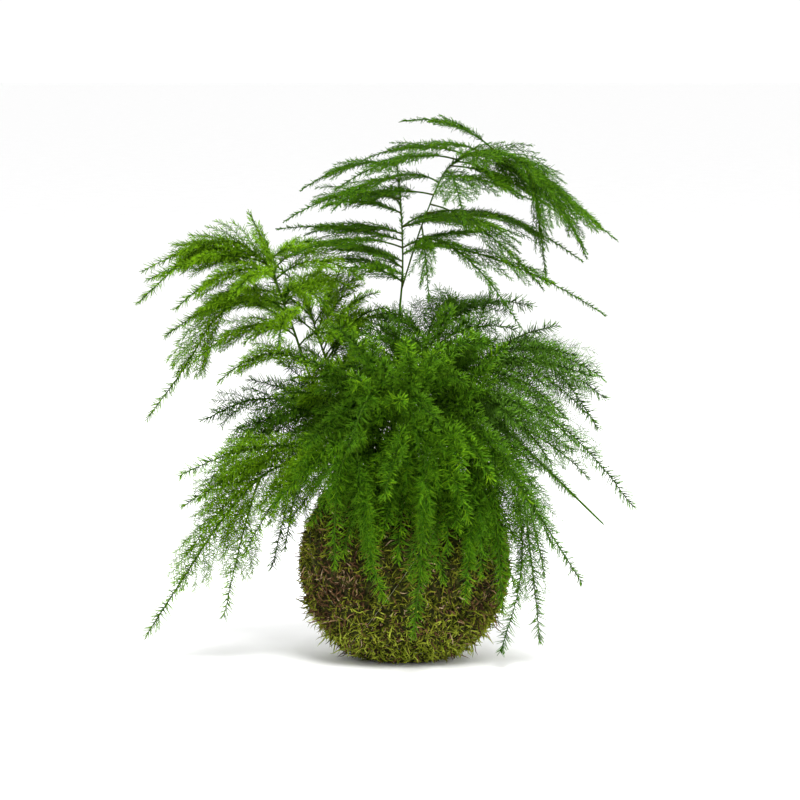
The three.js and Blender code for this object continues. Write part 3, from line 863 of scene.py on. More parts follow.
# Single needles: where each stands in its own stretch, its size, and how the last ones close round a tip.
NEEDLE_PLACES = (0.2, 0.8)
NEEDLE_SIZES = (0.75, 1.1)
LEAN_STRAY = 13.0
TIP_LENGTH = 10.0
TIP_CLOSING = 0.4
NEEDLE_HEIGHT = 0.6
NEEDLE_ROOM = 0.5
ROOM_SLACK = 0.1

# How light a needle is: what it shares with its spray, what is its own, and what it has from its place. What
# it has from its place is partly paler young growth and partly painted shade, which darkens needles at the
# feet of sprays and deep in the plant.
SHARED_TONE = 0.2
OWN_TONE = 0.5
OWN_TONE_SHAPE = (0.5, 0.7)
TIP_FRESH_AND_DEPTH_SHADE = 0.3
OUTER_FRESH_AND_DEPTH_SHADE = 0.7

# Young shoots: their headings in degrees, their lengths, where they leave the stem, and their fans.
YOUNG_SECTOR = 150.0
YOUNG_RISES = (-25.0, 55.0)
YOUNG_LENGTHS = (45.0, 70.0)
YOUNG_PLACES = (30.0, 75.0)
YOUNG_HIGHEST = 0.75
YOUNG_ROOM = 8.0
YOUNG_SPREAD = 24.0
YOUNG_ARCHES = (10.0, 18.0)
YOUNG_TILTS = (-60.0, 60.0)


class Path:
    """A smooth line in space, read by the distance along it."""

    def __init__(self, points: np.ndarray) -> None:
        """Measures the line.

        Args:
            points: The points that it runs through, in rows.
        """
        steps = np.linalg.norm(np.diff(points, axis=0), axis=1)
        self.points = points
        self.distances = np.concatenate(([0.0], np.cumsum(steps)))
        self.length = float(self.distances[-1])
        self.along = unit(np.gradient(points, self.distances, axis=0))
        self.across = self.least_turning()

    @classmethod
    def through(cls, points: list[Point], foot: Point | None = None) -> "Path":
        """A line that passes smoothly through points.

        Args:
            points: The points.
            foot: Where a straight piece starts that leads to the first point.

        Returns:
            The path.
        """
        knots = np.array(points, dtype=float)
        before = 2 * knots[0] - knots[1]
        after = 2 * knots[-1] - knots[-2]
        padded = np.vstack((before, knots, after))
        t = np.linspace(0, 1, KNOT_STEPS, endpoint=False)[:, None]
        pieces = []
        for p0, p1, p2, p3 in zip(padded, padded[1:], padded[2:], padded[3:]):
            start, end = (p2 - p0) / 2, (p3 - p1) / 2
            bow = (2 * p1 - 2 * p2 + start + end) * t**3 + (3 * p2 - 3 * p1 - 2 * start - end) * t**2
            pieces.append(bow + start * t + p1)
        line = np.vstack((*pieces, knots[-1]))
        if foot is not None:
            share = np.linspace(0, 1, FOOT_STEPS, endpoint=False)[:, None]
            line = np.vstack(((1 - share) * np.array(foot) + share * knots[0], line))
        return cls(line)

    @classmethod
    def bowed(cls, start: np.ndarray, middle: np.ndarray, end: np.ndarray) -> "Path":
        """A line from a start to an end that bows towards a middle point."""
        t = np.linspace(0, 1, BOW_STEPS)[:, None]
        return cls((1 - t) ** 2 * start + 2 * (1 - t) * t * middle + t**2 * end)

    def least_turning(self) -> np.ndarray:
        """Finds directions across the path that turn as little as they can along it.

        Returns:
            A unit vector for each point of the path.
        """
        across = np.empty_like(self.along)
        last = across_of(self.along[:1])[0]
        for i, along in enumerate(self.along):
            last = unit(last - along * (last @ along))
            across[i] = last
        return across

    def read(self, values: np.ndarray, distances: np.ndarray) -> np.ndarray:
        """Values that are given at the path's points, read at other distances along it."""
        return np.stack([np.interp(distances, self.distances, values[:, k]) for k in range(3)], axis=-1)

    def laid(self, pattern: Pattern, radii: Span) -> np.ndarray:
        """A pattern laid along the path.

        Args:
            pattern: The pattern.
            radii: Its radius at the start and at the end.

        Returns:
            Its corners, as one copy by corners by 3.
        """
        share = pattern.reach
        distances = share * self.length
        along = unit(self.read(self.along, distances))
        across = unit(self.read(self.across, distances))
        beside = np.cross(along, across)
        x, y = pattern.corners[:, :1], pattern.corners[:, 1:2]
        radius = (radii[0] + (radii[1] - radii[0]) * share)[:, None]
        return (self.read(self.points, distances) + radius * (x * across + y * beside))[None]


@dataclass(frozen=True)
class Bows:
    """Many short bows at once, each drawn to a middle point.

    Attributes:
        starts: Where they start, in rows.
        middles: The points that they are drawn to.
        ends: Where they end.
        faces: The direction that the flat of each one's fan faces.
        rests: How far each one's end is from the tip of its spray or shoot.
        outers: How near to the tip of the shoot each one starts, from 0 to 1.
    """

    starts: np.ndarray
    middles: np.ndarray
    ends: np.ndarray
    faces: np.ndarray
    rests: np.ndarray
    outers: np.ndarray

    def at(self, rows: np.ndarray, shares: np.ndarray) -> np.ndarray:
        """Points on some of the bows.

        Args:
            rows: The number of each point's bow.
            shares: How far along its bow each point is.

        Returns:
            The points.
        """
        t = shares[..., None]
        drawn = (1 - t) ** 2 * self.starts[rows] + 2 * (1 - t) * t * self.middles[rows]
        return drawn + t**2 * self.ends[rows]

    def along(self, rows: np.ndarray, shares: np.ndarray) -> np.ndarray:
        """Directions along some of the bows.

        Args:
            rows: The number of each point's bow.
            shares: How far along its bow each point is.

        Returns:
            The directions.
        """
        t = shares[..., None]
        first = self.middles[rows] - self.starts[rows]
        second = self.ends[rows] - self.middles[rows]
        return unit((1 - t) * first + t * second)

    def laid(self, pattern: Pattern, radii: Span) -> np.ndarray:
        """A pattern laid along every bow.

        Args:
            pattern: The pattern.
            radii: Its radius at the start and at the end.

        Returns:
            The corners, as bows by corners by 3.
        """
        share = pattern.reach
        rows = np.arange(len(self.starts))[:, None]
        shares = np.broadcast_to(share, (len(self.starts), len(share)))
        along = self.along(rows, shares)
        flat = across_of(unit(np.cross(self.middles - self.starts, self.ends - self.middles)))
        across = unit(np.cross(along, np.broadcast_to(flat[:, None], along.shape)))
        beside = np.cross(along, across)
        x, y = pattern.corners[:, 0, None], pattern.corners[:, 1, None]
        radius = (radii[0] + (radii[1] - radii[0]) * share)[:, None]
        return self.at(rows, shares) + radius * (x * across + y * beside)


def level_beside(along: np.ndarray) -> np.ndarray:
    """Finds level directions square to others, or +X beside an upright one.

    Args:
        along: Unit vectors in rows.

    Returns:
        A level unit vector for each.
    """
    level = np.cross(along, UP)
    level[np.linalg.norm(level, axis=1) < UPRIGHT] = SIDEWAYS
    return unit(level)


def off_moss(points: np.ndarray, room: float) -> np.ndarray:
    """Moves points straight out of the moss where they lie in it, and up from the ground.

    Args:
        points: Points in rows.
        room: How far from the moss they must be.

    Returns:
        The moved points.
    """
    spokes = points - BALL_CENTRE
    reach = np.linalg.norm(spokes, axis=-1, keepdims=True)
    in_crown = (np.hypot(points[..., 0], points[..., 1]) < CROWN_RADIUS)[..., None] & (spokes[..., 2:] > 0)
    least = np.where(in_crown, 0.0, BALL_RADIUS + room)
    moved = BALL_CENTRE + spokes * np.maximum(1.0, least / np.maximum(reach, TINY))
    moved[..., 2] = np.maximum(moved[..., 2], room)
    return moved


@dataclass(frozen=True)
class Shoot:
    """A side shoot of a frond.

    Attributes:
        at: Where it leaves its parent, as a share of the parent's length.
        tip: Where it ends.
        spread: The length of its first sprays.
        arch: How far it bows upwards.
        tilt: How far its flat fan is turned from level, in degrees.
        bare: The share of its length that has no sprays.
        tail: The greatest length of its tail, which has only needles.
        bare_tip: The length of its tip that has no needles.
        through: Points that it passes through, if it doesn't run in one bow.
        shoots: Its own side shoots.
    """

    at: float
    tip: Point
    spread: float = 26.0
    arch: float = 14.0
    tilt: float = 0.0
    bare: float = BARE_SHARE
    tail: float = TAIL_LENGTH
    bare_tip: float = 0.0
    through: tuple[Point, ...] = ()
    shoots: tuple["Shoot", ...] = ()

    def path(self, parent: Path) -> Path:
        """Draws the line of the shoot.

        Args:
            parent: The line that it leaves.

        Returns:
            The path.
        """
        start = parent.read(parent.points, np.array([self.at * parent.length]))[0]
        end = np.array(self.tip, dtype=float)
        if self.through:
            return Path.through([tuple(start), *self.through, self.tip])
        return Path.bowed(start, start + BOW_MIDDLE * (end - start) + self.arch * UP, end)


@dataclass(frozen=True)
class Axis:
    """A stem or shoot in its place.

    Attributes:
        path: Its line.
        plan: What it is made from.
        radii: Its radius at the start and at the end.
        is_stem: Whether it stands in the soil.
    """

    path: Path
    plan: "Shoot | Frond"
    radii: Span
    is_stem: bool


@dataclass(frozen=True)
class NeedleGrowth:
    """How needles stand on a spray, or on a stem or shoot.

    Attributes:
        count: How many there are on a millimetre.
        length: The length of most of them.
        radius: The half width of a needle.
        scatter: How far needles stray from the flat of the fan, in radians.
        lightening: How much lighter they are towards the ends, partly as paler young growth and partly as
            painted shade that darkens the inner needles.
    """

    count: float
    length: float
    radius: float
    scatter: float
    lightening: float


class FrondPatterns:
    """The shapes that fronds are made of, each modelled once."""

    def __init__(self) -> None:
        """Models the shapes."""
        self.needle = needle_pattern()
        self.stem = twig_pattern(sides=7, joints=12)
        self.shoot = twig_pattern(sides=5, joints=10)
        self.spray = spray_pattern()


@dataclass(frozen=True)
class Frond:
    """A frond: a stem that stands in the soil, with shoots, sprays and needles.

    Attributes:
        node: The node that it stands for.
        foot: Where it leaves the soil.
        stem: The points that the stem passes through.
        bare: The share of the stem that has no sprays.
        spread: The length of the first sprays on the stem.
        shoots: Its side shoots.
        tilt: How far its flat fan is turned from level, in degrees.
        age: How old it is.
        spacing: How far apart its sprays are.
        scatter: How far its sprays stray from the flat of the fan, in degrees.
        needles: How many needles there are on a millimetre of a spray.
        needle_length: The length of most needles on its sprays.
        axis_needle_length: The length of most needles on its stem and shoots.
        needle_radius: The half width of the needles on its sprays.
        lean: How far most needles lean from what they stand on, in degrees.
        tail: The greatest length of the stem's tail, which has only needles.
        bare_tip: The length of the stem's tip that has no needles.
        tip_radius: The radius of the stem near its tip.
        tail_fresh_and_depth_shade: How much lighter its stem and shoots get towards their tips, partly as
            paler young growth and partly as painted shade that darkens their inner parts.
        tone: How light its needles are beside those of other fronds of its age. Below 1 it is painted shade,
            which darkens the fronds in the upper heart of the plant.
        young: How many young shoots fill its lower part.
    """

    node: str
    foot: tuple[float, float]
    stem: tuple[Point, ...]
    bare: float
    spread: float
    shoots: tuple[Shoot, ...]
    tilt: float = 0.0
    age: Age = Age.GROWN
    spacing: float = 3.3
    scatter: float = 10.0
    needles: float = 1.9
    needle_length: float = 6.8
    axis_needle_length: float = 7.8
    needle_radius: float = 0.24
    lean: float = 63.0
    tail: float = TAIL_LENGTH
    bare_tip: float = 0.0
    tip_radius: float = 0.35
    tail_fresh_and_depth_shade: float = 0.0
    tone: float = 1.0
    young: int = 0

    def axes(self, dice: np.random.Generator) -> Iterator[Axis]:
        """The stem and then each shoot.

        Args:
            dice: The frond's own chances.

        Yields:
            Each in its place.
        """
        x, y = self.foot
        bottom = BALL_CENTRE[2] + math.sqrt(SOIL_RADIUS**2 - x**2 - y**2) - STEM_DEPTH
        stem = Path.through([(x, y, SOIL_TOP + COLLAR_HEIGHT), *self.stem], foot=(x, y, bottom))
        yield Axis(stem, self, (STEM_RADIUS, self.tip_radius), is_stem=True)
        yield from self.shoots_of(stem, self.shoots)
        yield from self.young_shoots(stem, dice)

    def shoots_of(self, parent: Path, shoots: tuple[Shoot, ...]) -> Iterator[Axis]:
        """The shoots on a stem or shoot, with all their own.

        Args:
            parent: The line that they leave.
            shoots: What they are made from.

        Yields:
            Each shoot in its place.
        """
        for shoot in shoots:
            path = shoot.path(parent)
            yield Axis(path, shoot, SHOOT_RADII, is_stem=False)
            yield from self.shoots_of(path, shoot.shoots)

    def young_shoots(self, stem: Path, dice: np.random.Generator) -> Iterator[Axis]:
        """Short arching shoots that leave the lower part of the stem, away from the plant's middle.

        Args:
            stem: The line of the stem.
            dice: The frond's own chances.

        Yields:
            Each shoot in its place.
        """
        outwards = math.atan2(self.foot[1], self.foot[0])
        for number in range(self.young):
            turn = outwards + math.radians(YOUNG_SECTOR) * ((number + dice.random()) / self.young - 0.5)
            rise = math.radians(dice.uniform(*YOUNG_RISES))
            length = dice.uniform(*YOUNG_LENGTHS)
            level = math.cos(rise)
            heading = np.array((level * math.cos(turn), level * math.sin(turn), math.sin(rise)))
            at = min(YOUNG_HIGHEST, dice.uniform(*YOUNG_PLACES) / stem.length)
            start = stem.read(stem.points, np.array([at * stem.length]))
            tip = off_moss(start + length * heading, YOUNG_ROOM)[0]
            arch = dice.uniform(*YOUNG_ARCHES)
            shoot = Shoot(at, tuple(tip), YOUNG_SPREAD, arch, tilt=dice.uniform(*YOUNG_TILTS))
            yield Axis(shoot.path(stem), shoot, SHOOT_RADII, is_stem=False)

    def build(self, patterns: FrondPatterns) -> bpy.types.Object:
        """Builds and dresses the frond.

        Args:
            patterns: The shapes that it is made of.

        Returns:
            The piece.
        """
        on_sprays = NeedleGrowth(
            count=self.needles,
            length=self.needle_length,
            radius=self.needle_radius,
            scatter=SPRAY_NEEDLE_SCATTER,
            lightening=SPRAY_FRESH_AND_DEPTH_SHADE,
        )
        on_axes = NeedleGrowth(
            count=AXIS_NEEDLES,
            length=self.axis_needle_length,
            radius=AXIS_NEEDLE_RADIUS,
            scatter=AXIS_NEEDLE_SCATTER,
            lightening=self.tail_fresh_and_depth_shade,
        )
        bunch = Bunch()
        dice = np.random.default_rng(list(self.node.encode()))
        for axis in self.axes(dice):
            pattern = patterns.stem if axis.is_stem else patterns.shoot
            bunch.add(pattern, axis.path.laid(pattern, axis.radii), dice.random(1), BARK_SLOT)
            sprays = self.sprays(axis, dice)
            if len(sprays.starts):
                tones = SPRAY_TONE + SPRAY_TONE_RANGE * dice.random(len(sprays.starts))
                bunch.add(patterns.spray, sprays.laid(patterns.spray, SPRAY_RADII), tones, NEEDLE_SLOT)
                self.add_needles(bunch, patterns.needle, sprays, on_sprays, dice)
            self.add_needles(bunch, patterns.needle, self.leafy_part(axis), on_axes, dice)
        piece = bunch.piece(self.node.replace("frond", "fern_frond"))
        self.dress(piece)
        return piece

    def dress(self, piece: bpy.types.Object) -> None:
        """Gives the piece skin on its stems and green needles."""
        for finish in (BARK, self.age.value):
            piece.data.materials.append(finish.material())

    def sprays(self, axis: Axis, dice: np.random.Generator) -> Bows:
        """The sprays that leave a stem or shoot in a flat fan: longest below, with none on its tail.

        Args:
            axis: The stem or shoot.
            dice: The frond's own chances.

        Returns:
            The sprays.
        """
        path, plan = axis.path, axis.plan
        first = plan.bare * path.length
        last = path.length - min(plan.tail, TAIL_SHARE * path.length)
        distances = np.arange(first, last, self.spacing)
        count = len(distances)
        distances = distances + self.spacing * dice.uniform(-SPRAY_STRAY, SPRAY_STRAY, count)
        share = (distances - first) / (path.length - first)
        starts = path.read(path.points, distances)
        along = unit(path.read(path.along, distances))
        hands = np.where(np.arange(count) % 2, 1.0, -1.0)
        turns = math.radians(plan.tilt) + hands * np.radians(dice.normal(0, self.scatter, count))
        side = spun(level_beside(along), along, turns) * hands[:, None]
        profile = np.minimum(1.0, FIRST_SPRAY + SPRAY_SWELL * share) * (FULL_SPRAY - SPRAY_TAPER * share)
        lengths = plan.spread * profile * dice.uniform(*SPRAY_SIZES, count)
        lengths = np.minimum(lengths, SHORTEST_SPRAY + SPRAY_REACH * (last - distances))
        half = lengths[:, None] / 2
        opened = np.radians(SPRAY_ANGLE + dice.normal(0, SPRAY_ANGLE_STRAY, count))[:, None]
        closed = np.radians(SPRAY_END_ANGLE + dice.normal(0, SPRAY_ANGLE_STRAY, count))[:, None]
        middles = starts + half * (np.cos(opened) * along + np.sin(opened) * side)
        ends = middles + half * (np.cos(closed) * along + np.sin(closed) * side)
        ends = ends - DROOP * lengths[:, None] * UP
        return Bows(
            starts=starts,
            middles=off_moss(middles, SPRAY_MIDDLE_ROOM),
            ends=off_moss(ends, SPRAY_END_ROOM),
            faces=np.cross(along, side),
            rests=np.zeros(count),
            outers=share,
        )

    def leafy_part(self, axis: Axis) -> Bows:
        """The leafy part of a stem or shoot as short bows, so that needles can stand on it.

        Args:
            axis: The stem or shoot.

        Returns:
            The bows.
        """
        path, plan = axis.path, axis.plan
        first = LEAFY_START * plan.bare * path.length
        stops = np.linspace(first, path.length - plan.bare_tip, AXIS_STOPS)
        starts = path.read(path.points, stops[:-1])
        ends = path.read(path.points, stops[1:])
        along = unit(ends - starts)
        turns = np.full(len(along), math.radians(plan.tilt))
        return Bows(
            starts=starts,
            middles=(starts + ends) / 2,
            ends=ends,
            faces=np.cross(along, spun(level_beside(along), along, turns)),
            rests=stops[-1] - stops[1:],
            outers=stops[:-1] / path.length,
        )

    def add_needles(
        self, bunch: Bunch, needle: Pattern, bows: Bows, growth: NeedleGrowth, dice: np.random.Generator
    ) -> None:
        """Adds needles on both sides of some bows, most of them in the flat of the fan.

        Args:
            bunch: What they are added to.
            needle: The shape of a needle.
            bows: The bows that they stand on.
            growth: How they stand there.
            dice: The frond's own chances.
        """
        bow_lengths = np.linalg.norm(bows.ends - bows.starts, axis=1)
        counts = np.maximum(1, (bow_lengths * growth.count).astype(int))
        rows = np.repeat(np.arange(len(counts)), counts)
        number = np.arange(len(rows))
        first = np.repeat(np.cumsum(counts) - counts, counts)
        shares = (number - first + dice.uniform(*NEEDLE_PLACES, len(rows))) / counts[rows]
        feet = bows.at(rows, shares)
        along = bows.along(rows, shares)
        hands = np.where(number % 2, math.pi, 0.0)
        beside = unit(np.cross(along, bows.faces[rows]))
        side = spun(beside, along, hands + dice.normal(0, growth.scatter, len(rows)))
        closing = np.clip(1 - (bows.rests[rows] + (1 - shares) * bow_lengths[rows]) / TIP_LENGTH, 0, 1)
        opening = 1 - TIP_CLOSING * closing
        lean = np.radians(dice.normal(self.lean, LEAN_STRAY, len(rows)) * opening)[:, None]
        directions = unit(np.cos(lean) * along + np.sin(lean) * side)
        lengths = growth.length * dice.uniform(*NEEDLE_SIZES, len(rows)) * opening
        tips = feet + lengths[:, None] * directions
        pushed = np.linalg.norm(off_moss(tips, NEEDLE_ROOM) - tips, axis=1)
        is_clear = (tips[:, 2] > NEEDLE_HEIGHT) & (pushed < ROOM_SLACK)
        across = side - directions * np.sum(side * directions, axis=1, keepdims=True)
        corners = needle.copied(
            feet[is_clear],
            directions[is_clear],
            unit(across[is_clear]),
            lengths[is_clear],
            np.full(int(is_clear.sum()), growth.radius),
        )
        shared = SHARED_TONE * dice.random(len(counts))[rows]
        own = OWN_TONE * dice.beta(*OWN_TONE_SHAPE, len(rows))
        # Needles get lighter towards the tips and towards the ends of the shoot. This is partly paler young
        # growth and partly painted shade that keeps the inner needles dark.
        lightened = growth.lightening * (TIP_FRESH_AND_DEPTH_SHADE * closing + OUTER_FRESH_AND_DEPTH_SHADE * bows.outers[rows])
        # The frond's tone scales them all. Below 1 it is painted shade for fronds in the upper heart.
        tones = self.tone * (shared + own + lightened)
        bunch.add(needle, corners, tones[is_clear], NEEDLE_SLOT)


FRONDS = (
    Frond(
        "frond_tall", foot=(0, 3), bare=0.84, spread=26, spacing=2.6, needle_length=3.9,
        axis_needle_length=3.2, needles=2.5, lean=48,
        stem=((-3, 5, 160), (-3, 6, 197), (-1, 8, 226), (-2, 10, 262), (-5, 14, 290)),
        shoots=(
            Shoot(0.98, (-60, 10, 272), tilt=8, spread=28),
            Shoot(0.88, (-69, -14, 255), arch=18, tilt=-8, spread=28),
            Shoot(0.74, (-66, -30, 236), tilt=8, spread=28),
            Shoot(0.86, (-20, 66, 262), spread=30),
            Shoot(0.8, (42, 52, 248), arch=16, spread=30),
            Shoot(0.68, (-46, 40, 236), arch=12, bare=0.04),
            Shoot(0.94, (-41, -36, 262), arch=12, tilt=10),
            Shoot(0.78, (-58, 14, 246), arch=10, tilt=6, spread=28, bare=0.04),
            Shoot(0.64, (-34, -30, 229), arch=8, tilt=14, spread=24, bare=0.04),
            Shoot(0.76, (-74, 4, 250), arch=8, tilt=4, bare=0.04),
            Shoot(0.7, (-62, -10, 243), arch=8, tilt=-6, bare=0.04),
            Shoot(0.66, (-50, 20, 230), arch=10, tilt=8, spread=24, bare=0.04),
            Shoot(0.8, (68, -12, 246), tilt=4, spread=28, bare=0.04),
            Shoot(0.74, (56, 18, 246), arch=10, tilt=-4, spread=28, bare=0.04),
            Shoot(0.84, (-48, 22, 262), arch=10, tilt=20, bare=0.04),
            Shoot(0.72, (36, -30, 240), arch=10, tilt=12, spread=24, bare=0.04),
            Shoot(
                0.62, (122, -10, 244), tilt=6, spread=30, bare=0.4, tail=16,
                through=((12, 3, 257), (29, 0, 289), (64, -4, 291)),
                shoots=(
                    Shoot(0.55, (-2, -4, 312), arch=16, tilt=10),
                    Shoot(0.43, (-40, -44, 274), arch=18, tilt=8, spread=28),
                    Shoot(0.6, (104, -40, 238), tilt=16, spread=28),
                    Shoot(0.52, (80, 44, 258), spread=30),
                    Shoot(0.38, (34, -62, 256), arch=16, tilt=10, spread=30),
                    Shoot(0.14, (115, -30, 202), arch=18, tilt=16, spread=18, tail=60),
                    Shoot(0.27, (80, -16, 216), arch=16, tilt=20, spread=20),
                    Shoot(0.24, (104, 22, 230), arch=22, tilt=4, spread=30),
                    Shoot(0.3, (-46, 28, 262), arch=10, tilt=-4, spread=28),
                    Shoot(0.22, (66, -46, 244), tilt=6, spread=28),
                    Shoot(0.16, (66, -38, 196), arch=26, tilt=10, spread=8, tail=60),
                    Shoot(0.36, (72, -24, 268), arch=8, tilt=10, spread=30),
                    Shoot(0.5, (62, 24, 274), arch=10, tilt=6, spread=30),
                    Shoot(0.44, (50, -44, 282), arch=12, tilt=4, spread=28),
                    Shoot(0.46, (-22, 24, 290), arch=12, tilt=4, spread=28),
                    Shoot(0.2, (14, -40, 210), arch=10, tilt=50, spread=14),
                    Shoot(0.46, (78, 18, 270), tilt=16, spread=28),
                    Shoot(0.4, (88, -8, 260), arch=12, tilt=8, spread=30),
                    Shoot(0.48, (96, 14, 252), arch=16, tilt=4, spread=28),
                    Shoot(0.56, (86, -30, 268), arch=12, tilt=-6, spread=28),
                    Shoot(0.7, (106, 14, 232), arch=8, tilt=12, spread=20),
                    Shoot(0.66, (82, 2, 220), arch=16, tilt=14, spread=18),
                    Shoot(0.34, (-18, 12, 274), arch=12, tilt=10, spread=28),
                    Shoot(0.42, (66, 2, 268), arch=10, tilt=20, spread=28),
                    Shoot(0.5, (10, -20, 296), arch=8, tilt=-8, spread=24),
                    Shoot(0.58, (94, -4, 264), arch=10, tilt=30),
                ),
            ),
        ),
    ),
    Frond(
        "frond_left_high", foot=(-10, -1), bare=0.6, tilt=25, spread=28, spacing=2.5, needles=2.5,
        needle_length=5.4, axis_needle_length=5.6, lean=54, age=Age.YOUNG,
        stem=(
            (-22, -4, 134), (-49, -8, 154), (-66, -12, 198), (-82, -14, 234), (-112, -18, 243),
            (-153, -22, 209),
        ),
        shoots=(
            Shoot(0.66, (-152, 12, 225), arch=18, tilt=20, spread=28),
            Shoot(0.62, (-130, -48, 207), arch=18, tilt=25, spread=28),
            Shoot(0.54, (-137, -28, 190), arch=20, tilt=30, spread=28),
            Shoot(
                0.5, (-148, -20, 142), tilt=40, spread=28,
                through=((-92, -22, 210), (-110, -26, 198), (-126, -24, 172)),
            ),
            Shoot(0.4, (-106, -46, 165), arch=20, tilt=40),
            Shoot(0.58, (-90, 22, 258), arch=6, tilt=50, spread=20),
            Shoot(0.64, (-140, -30, 224), arch=16, tilt=20, spread=28),
            Shoot(0.6, (-24, -22, 222), arch=22, tilt=20, spread=28),
            Shoot(0.62, (-38, 6, 240), tilt=20),
            Shoot(0.56, (-42, -40, 204), arch=18, tilt=30),
            Shoot(0.6, (-98, -62, 214), arch=16, tilt=20),
            Shoot(0.5, (-72, -58, 186), arch=18, tilt=30),
            Shoot(0.66, (-148, -10, 221), tilt=15, spread=30),
            Shoot(0.56, (-122, -20, 200), arch=18, tilt=25, spread=30),
            Shoot(0.48, (-120, -34, 176), arch=20, tilt=35, spread=28),
            Shoot(0.64, (-52, -20, 238), arch=12, tilt=15),
            Shoot(0.54, (-30, -6, 216), arch=18, tilt=25, spread=28),
            Shoot(0.6, (-118, -6, 230), tilt=35, spread=30),
            Shoot(0.52, (-104, -20, 206), arch=16, tilt=40, spread=28),
            Shoot(0.46, (-92, -34, 186), arch=16, tilt=45),
            Shoot(0.44, (-36, -30, 186), tilt=40),
            Shoot(0.54, (-62, -20, 218), arch=12, tilt=60),
        ),
    ),
    Frond(
        "frond_left_mid", foot=(-7, 8), bare=0.7, tilt=20, spread=26, spacing=2.5, needles=2.5,
        needle_length=5.4, axis_needle_length=5.6, lean=54, age=Age.YOUNG,
        stem=((-20, 12, 137), (-38, 16, 154), (-50, 20, 185), (-60, 24, 212), (-80, 34, 232)),
        shoots=(
            Shoot(0.7, (-12, 24, 226), arch=16, tilt=25),
            Shoot(0.56, (-10, 4, 204), arch=18, tilt=34),
            Shoot(0.66, (-106, 52, 204), arch=16),
            Shoot(0.76, (-50, 76, 220)),
            Shoot(0.6, (-28, -22, 190), arch=18, tilt=40),
            Shoot(0.5, (-12, -36, 182), arch=16, tilt=50, spread=24),
            Shoot(0.4, (-60, -40, 176), tilt=40, spread=24),
            Shoot(0.3, (-74, -30, 156), arch=16, tilt=50, spread=24),
            Shoot(0.64, (-32, 2, 212), tilt=30),
            Shoot(0.72, (-88, 4, 214), arch=12, tilt=30),
            Shoot(0.46, (-84, -10, 180), arch=16, tilt=40),
            Shoot(0.62, (-16, -16, 214), tilt=25, spread=28),
            Shoot(0.54, (-22, 20, 192), arch=16, tilt=35, spread=28),
            Shoot(0.58, (-8, 10, 200), arch=16, tilt=60),
            Shoot(0.48, (-30, 24, 172), arch=12, tilt=70),
            Shoot(0.66, (-36, 10, 228), arch=8, tilt=60),
        ),
    ),
    Frond(
        "frond_right_high", foot=(10, 4), bare=0.42, tilt=55, spread=20, spacing=3.6, needles=1.6,
        needle_length=7.6, age=Age.OLD, needle_radius=0.15,
        stem=((20, 8, 140), (45, 8, 172), (66, 6, 187), (88, 2, 194)),
        shoots=(
            Shoot(0.6, (116, -2, 152), arch=28, tilt=60, spread=22, tail=12),
            Shoot(0.48, (132, -14, 90), arch=44, tilt=50, spread=24),
            Shoot(0.5, (50, 14, 212), arch=6, tilt=60, spread=18),
            Shoot(0.7, (98, 52, 168), arch=20),
            Shoot(0.56, (108, -22, 166), arch=18, tilt=50, spread=24),
            Shoot(0.64, (106, 10, 142), arch=22, tilt=60, spread=24),
            Shoot(0.72, (115, -4, 164), tilt=60, tail=10),
            Shoot(0.62, (98, -18, 178), tilt=50, tail=14),
            Shoot(0.8, (112, 2, 134), arch=20, tilt=70, spread=24),
            Shoot(0.54, (84, -20, 160), arch=16, tilt=50),
        ),
    ),
    Frond(
        "frond_right_long", foot=(14, -4), bare=0.4, spread=14, tail=30, bare_tip=24, tip_radius=0.6,
        axis_needle_length=4.5, spacing=3.0, needle_length=7.6, age=Age.OLD, needle_radius=0.15,
        stem=((26, -8, 138), (42, -14, 148), (66, -20, 128), (116, -28, 80)),
        shoots=(
            Shoot(0.42, (98, -52, 130), arch=22, tilt=50, spread=24),
            Shoot(0.5, (108, 6, 104), arch=12, tilt=60, spread=22),
        ),
    ),
    Frond(
        "frond_right_low", foot=(12, -11), bare=0.45, tilt=70, spread=22, spacing=3.6, needle_length=7.6,
        age=Age.OLD, needle_radius=0.15,
        stem=((26, -20, 131), (50, -32, 122), (70, -36, 98), (102, -32, 48)),
        shoots=(
            Shoot(0.62, (78, -32, 14), arch=8, tilt=80, spread=20),
            Shoot(0.5, (55, -46, 10), tilt=80, spread=16, through=((66, -40, 90), (66, -44, 50))),
            Shoot(0.42, (84, -70, 74), arch=18, tilt=50, spread=24),
        ),
    ),
    Frond(
        "frond_left_low", foot=(-13, -7), bare=0.35, tilt=65, spread=30, age=Age.YOUNG, spacing=3.4,
        needles=2.2, needle_length=6.4,
        stem=((-30, -16, 132), (-62, -24, 120), (-96, -30, 96), (-148, -36, 19)),
        shoots=(
            Shoot(0.5, (-104, -26, 28), arch=10, tilt=80, spread=22),
            Shoot(0.34, (-128, -52, 112), tilt=60, spread=24),
            Shoot(0.44, (-128, -14, 90), arch=10, tilt=60, spread=24, tail=16),
            Shoot(0.16, (-66, -36, 84), arch=16, tilt=40, spread=24),
            Shoot(0.22, (-84, -44, 92), tilt=50, spread=24),
            Shoot(0.4, (-118, -44, 98), arch=12, tilt=50, spread=28),
            Shoot(0.48, (-126, -22, 62), arch=12, tilt=60),
            Shoot(0.3, (-92, -46, 66), tilt=60),
            Shoot(0.36, (-110, -8, 104), arch=12, tilt=50, spread=28),
        ),
    ),
    Frond(
        "frond_left_back", foot=(-14, 4), bare=0.4, tail=12, tilt=60, spread=24, young=2, scatter=24,
        stem=((-28, 16, 134), (-60, 28, 146), (-90, 34, 148), (-118, 34, 136)),
        shoots=(
            Shoot(0.6, (-116, 62, 96), arch=16, tilt=-30),
            Shoot(0.5, (-78, 42, 48), arch=26, tilt=70, spread=24),
            Shoot(0.34, (-98, -8, 134), tilt=50, spread=24),
